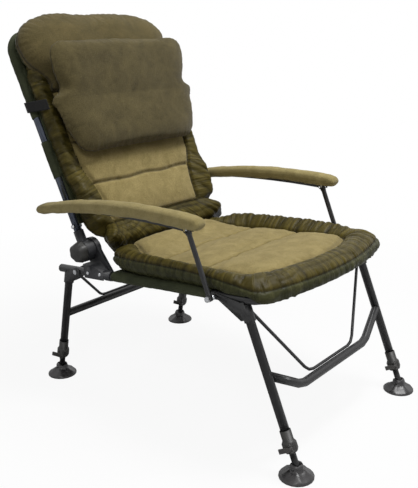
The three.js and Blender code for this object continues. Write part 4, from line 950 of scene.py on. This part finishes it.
def make_roll():
    section = eased(np.array(ROLL, float), 1)
    section = np.repeat(section, 2, 0)
    section[1::2] = (section[0::2] + np.roll(section[0::2], -1, 0)) / 2
    middle = section.mean(0)
    depth, level = section.T
    fore = smooth(depth, 26, 42)
    half = along_stops(ROLL_HALVES, level) + 25 * fore * bell(level - 8, 50)
    rings = []
    for t in np.linspace(-1, 1, 61):
        close = max(0.12, 1 - abs(t) ** 14) ** 0.5
        ring = middle + (section - middle) * close
        ring[:, 0] += 28 * fore * smooth(abs(t), 0.66, 0.94) * bell(level - 4, 40)
        rings.append(np.column_stack([t * half, -ring[:, 0], ring[:, 1]]))
    piece = skin_of("crease_roll", rings, BACK)
    filled(piece, 4.6, 5)
    x, _, z = unturned(get_points(piece), *BACK).T
    ahead = ahead_of(piece)
    ends = smooth(np.abs(x), 110, 205)
    folds = gathers(x + 1.1 * z * ends * np.sign(x), 0.01 * z, 30, 90)
    creases = gathers(z + 0.12 * np.abs(x) + 9 * ripple(x, 45, 97), 0.002 * x, 34, 94)
    tight = mixed(0.75 * creases + 0.25 * folds, 0.75 * folds + 0.25 * creases, ends)
    move = (2.8 + 1.7 * ends) * tight * smooth(ahead, -0.7, 0.1)
    soft_step(piece, move)
    # Painted shade along a seam line, where the roll tucks in behind the seat and in the valleys of its folds;
    # painted highlight on the crests of the folds
    dark = 0.8 * bell(z - 47, 4) * smooth(ahead, 0, 0.4) + 0.6 * bell(z + 17, 7) + 0.45 * smooth(-tight, 0.1, 0.8)
    note(piece, gather=smooth(tight, -0.5, 0.9), run=x + z, reach=z / 60, crease=np.clip(dark, 0, 1))
    dress(piece, [BORDER_SATIN])
    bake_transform(piece)


make_roll()

# Arm covers follow their solids, eased and a little creased

def make_arm_cover(side):
    piece = copy_of(f"arm_pad_{side}", f"arm_cushion_{side}")
    add_modifier(piece, "even_cloth", "REMESH", mode="VOXEL", voxel_size=2.6 * MM)
    add_modifier(piece, "ease", "SMOOTH", iterations=6)
    finish_modifiers(piece)
    _, y, z = (get_points(piece) / MM).T
    up = get_normals(piece)[:, 2]
    move = 0.5 * ripple(y, 13, 70) + 0.9 * ripple(y + z, 48, 71) + 1.0 * smooth(up, -0.6, 0.3)
    move += 0.7 * ripple(y - 0.7 * z, 22, 72) * smooth(up, 0.2, -0.6)
    soft_step(piece, move)
    dress(piece, [ARM_FLEECE])
    place_soft(piece, f"arm_{side}", f"arm_pad_{side}")


for side in SIDES:
    make_arm_cover(side)

# Slings: sheets of strong cloth stretched between the tubes, with sleeves that wrap them

PATH_STEP = 6


def sleeve(path, radius, lane):
    """Rows of a loose tube of cloth round a path of points and headings; it gathers here and there"""
    turns = 20
    rows = []
    for k, (at, heading, across) in enumerate(path):
        other = np.cross(heading, across)
        ring = []
        for i in range(turns):
            angle = 2 * math.pi * i / turns
            loose = (0.5 + 0.7 * ripple(k * PATH_STEP + 14 * math.cos(angle), 11, lane)
                     + 0.5 * ripple(k * PATH_STEP, 30, lane + 1))
            r = radius + max(0.0, float(loose))
            ring.append(at + r * (math.cos(angle) * across + math.sin(angle) * other))
        rows.append(ring)
    return rows


def straight(start, end, across):
    """Points, headings and a steady side for a straight path"""
    start, end = np.array(start, float), np.array(end, float)
    length = np.linalg.norm(end - start)
    heading = (end - start) / length
    count = max(2, int(length / PATH_STEP) + 1)
    return [(mixed(start, end, k / (count - 1)), heading, np.array(across, float)) for k in range(count)]


def cloth_piece(name, grids, to_world, thick_mm, material):
    """One mesh of several grids of cloth, each a list of rows, with a thickness"""
    points, faces = [], []
    for rows, ring in grids:
        faces += grid_faces(len(rows), len(rows[0]), len(points), ring)
        points += [p for row in rows for p in row]
    piece = mesh_piece(name, turned(points, *to_world), faces)
    add_modifier(piece, "cloth", "SOLIDIFY", thickness=thick_mm * MM, offset=0)
    finish_modifiers(piece)
    dress(piece, [material])
    return piece


SEAT_SLEEVE, BACK_SLEEVE = 12.0, 12.2
SLING_THICKNESS = 1.2
SLING_ROWS, SLING_COLUMNS = 90, 61


def make_seat_sling():
    rows = []
    for y in np.linspace(-326, 165, SLING_ROWS):
        reach = along_stops([(-326, 205), (-304, 240), (-270, 258), (-250, HALF_FRAME)], y)
        row = []
        for share in np.linspace(-1, 1, SLING_COLUMNS):
            x = share * reach
            pull = bell((abs(x) - HALF_FRAME) / 60, 1) * 0.9 * float(ripple(y, 17, 81))
            row.append((x, y, float(sling_level(x, y)) + 0.8 + pull - 0.5 * (1 - abs(share))))
        rows.append(row)
    grids = [(rows, False)]
    for x in (-HALF_FRAME, HALF_FRAME):
        grids.append((sleeve(straight((x, -172, 0), (x, 165, 0), (1, 0, 0)), SEAT_SLEEVE, 83), True))
    grids.append((sleeve(straight((-118, -330, 0), (118, -330, 0), (0, 1, 0)), SEAT_SLEEVE, 86), True))
    piece = cloth_piece("seat_sling_cloth", grids, SEAT, SLING_THICKNESS, SLING_CLOTH)
    place_soft(piece, "seat", "seat_sling")


def divided(line, step):
    """The same line with its points no more than about a step apart"""
    dense = []
    for p, q in zip(line, line[1:]):
        count = max(1, int(math.dist(p, q) / step))
        dense += [mixed(p, q, k / count) for k in range(count)]
    return dense + [line[-1]]


def bent_path(points, radius):
    """Points, headings and a steady side for a path with one rounded corner at each inner point"""
    corners = [np.array(p, float) for p in points]
    line = [corners[0]]
    for before, at, after in zip(corners, corners[1:], corners[2:]):
        a = at + (before - at) / np.linalg.norm(before - at) * radius
        c = at + (after - at) / np.linalg.norm(after - at) * radius
        middle = a + c - at
        for k in range(13):
            t = k / 12 * math.pi / 2
            line.append(middle + (a - middle) * math.cos(t) + (c - middle) * math.sin(t))
    line.append(corners[-1])
    dense = divided(line, PATH_STEP)
    path = []
    for k, at in enumerate(dense):
        heading = dense[min(k + 1, len(dense) - 1)] - dense[max(k - 1, 0)]
        path.append((at, heading / np.linalg.norm(heading), np.array([0.0, 1.0, 0.0])))
    return path


def make_back_sling():
    rows = []
    for z in np.linspace(72, 566, SLING_ROWS):
        row = []
        for share in np.linspace(-1, 1, SLING_COLUMNS):
            x = share * HALF_FRAME
            pull = bell((abs(x) - HALF_FRAME) / 60, 1) * 0.7 * float(ripple(z, 17, 91))
            row.append((x, -12.4 - pull, z))
        rows.append(row)
    bow = bent_path([(-HALF_FRAME, 0, 380), (-HALF_FRAME, 0, 616), (HALF_FRAME, 0, 616), (HALF_FRAME, 0, 380)], 55)
    grids = [(rows, False), (sleeve(bow, BACK_SLEEVE, 93), True)]
    for x in (-HALF_FRAME, HALF_FRAME):
        grids.append((sleeve(straight((x, 0, 209), (x, 0, 311), (0, 1, 0)), BACK_SLEEVE, 95), True))
    piece = cloth_piece("back_sling_cloth", grids, BACK, SLING_THICKNESS, SLING_CLOTH)
    place_soft(piece, "back", "back_sling")


make_seat_sling()
make_back_sling()

# Pillow strap: a wide elastic band round the posts, holding the pillow on both sides

def make_strap():
    wide, behind, ahead = 278.3, 16.3, 84
    path = [(-wide, -ahead), (-wide, -40), (-wide, 0), (-wide + 3, behind - 4), (-wide + 11, behind),
            (-180, behind), (0, behind), (180, behind), (wide - 11, behind), (wide - 3, behind - 4),
            (wide, 0), (wide, -40), (wide, -ahead)]
    step = 5
    rows = []
    for k, (x, y) in enumerate(divided([np.array(p, float) for p in path], step)):
        fall = 0.3 * y
        wave = 0.4 * float(ripple(k * step, 18, 98))
        rows.append([(x, y + wave * (abs(x) < 200), z + fall) for z in np.linspace(398, 427, 9)])
    piece = cloth_piece("pillow_band", [(rows, False)], BACK, 2.0, STRAP_WEB)
    place_soft(piece, "headrest", "pillow_strap")


make_strap()


# Studio: white ground and backdrop, large soft lamps

def white_ground():
    """White paper that shows only the shadow near the chair and fades to plain white further out"""
    bpy.ops.mesh.primitive_plane_add(size=14, location=(0, 0, -0.0005))
    ground = bpy.context.object
    ground.name = "studio_ground"
    material, add, place = start_material("studio_white")
    path = add("LightPath")
    far = add("VectorMath", {0: place}, operation="LENGTH").outputs["Value"]
    plain = add("MapRange", {"Value": far, "From Min": 0.6, "From Max": 1.9, "To Min": 0.92, "To Max": 1.0})
    white = add("Emission", {"Color": "#ffffff", "Strength": 1.0})
    paper = add("BsdfDiffuse", {"Color": (0.8, 0.8, 0.8, 1)})
    share = add("Math", {0: path.outputs["Is Camera Ray"], 1: plain}, operation="MULTIPLY")
    mix = add("MixShader", {"Fac": share, 1: paper, 2: white})
    add("OutputMaterial", {"Surface": mix})
    ground.data.materials.append(material)


def lamp(name, place, target, size, power):
    data = bpy.data.lights.new(name, "AREA")
    data.shape = "RECTANGLE"
    data.size, data.size_y = size
    data.energy = power
    light = new_object(name, data)
    light.location = place
    light.rotation_euler = (Vector(target) - Vector(place)).to_track_quat("-Z", "Y").to_euler()


def studio():
    """A white world, full for the camera and for reflections, and dimmer as a light"""
    white_ground()
    world = bpy.data.worlds.new("studio_world")
    bpy.context.scene.world = world
    add = start_tree(world)
    path = add("LightPath")
    seen = add("Math", {0: path.outputs["Is Camera Ray"], 1: path.outputs["Is Glossy Ray"]},
               operation="MAXIMUM")
    strength = add("MapRange", {"Value": seen, "To Min": 0.22, "To Max": 1.0})
    sky = add("Background", {"Strength": strength, "Color": "#ffffff"})
    add("OutputWorld", {"Surface": sky})
    lamp("key", (-1.9, -1.3, 2.5), (0, 0, 0.5), (0.7, 0.7), 20)
    lamp("top", (0.4, -0.55, 2.7), (0, -0.25, 0.4), (0.8, 0.8), 58)
    lamp("side", (2.4, -1.2, 1.5), (0, 0, 0.5), (1.6, 1.8), 4.5)


PHOTO_HEIGHT_PX, FOCAL_PX, SENSOR_MM = 488, 710.5, 36


def place_camera():
    """The camera of the photograph, from the frame's paired tubes"""
    azimuth, elevation, roll = math.radians(-50.26), math.radians(16.62), math.radians(-0.614)
    level = math.cos(elevation)
    forward = Vector((-math.sin(azimuth) * level, math.cos(azimuth) * level, -math.sin(elevation)))
    right = Vector((math.cos(azimuth), math.sin(azimuth), 0))
    up = right.cross(forward)
    across = math.cos(roll) * right + math.sin(roll) * up
    above = -math.sin(roll) * right + math.cos(roll) * up
    data = bpy.data.cameras.new("camera")
    data.sensor_fit = "VERTICAL"
    data.sensor_height = SENSOR_MM
    data.lens = FOCAL_PX / PHOTO_HEIGHT_PX * SENSOR_MM
    camera = new_object("camera", data)
    turn = Matrix((across, above, -forward)).transposed().to_4x4()
    camera.matrix_world = Matrix.Translation((-1.4570, -1.20537, 0.9683)) @ turn
    bpy.context.scene.camera = camera


studio()
place_camera()
bpy.context.scene.view_settings.view_transform = "Standard"
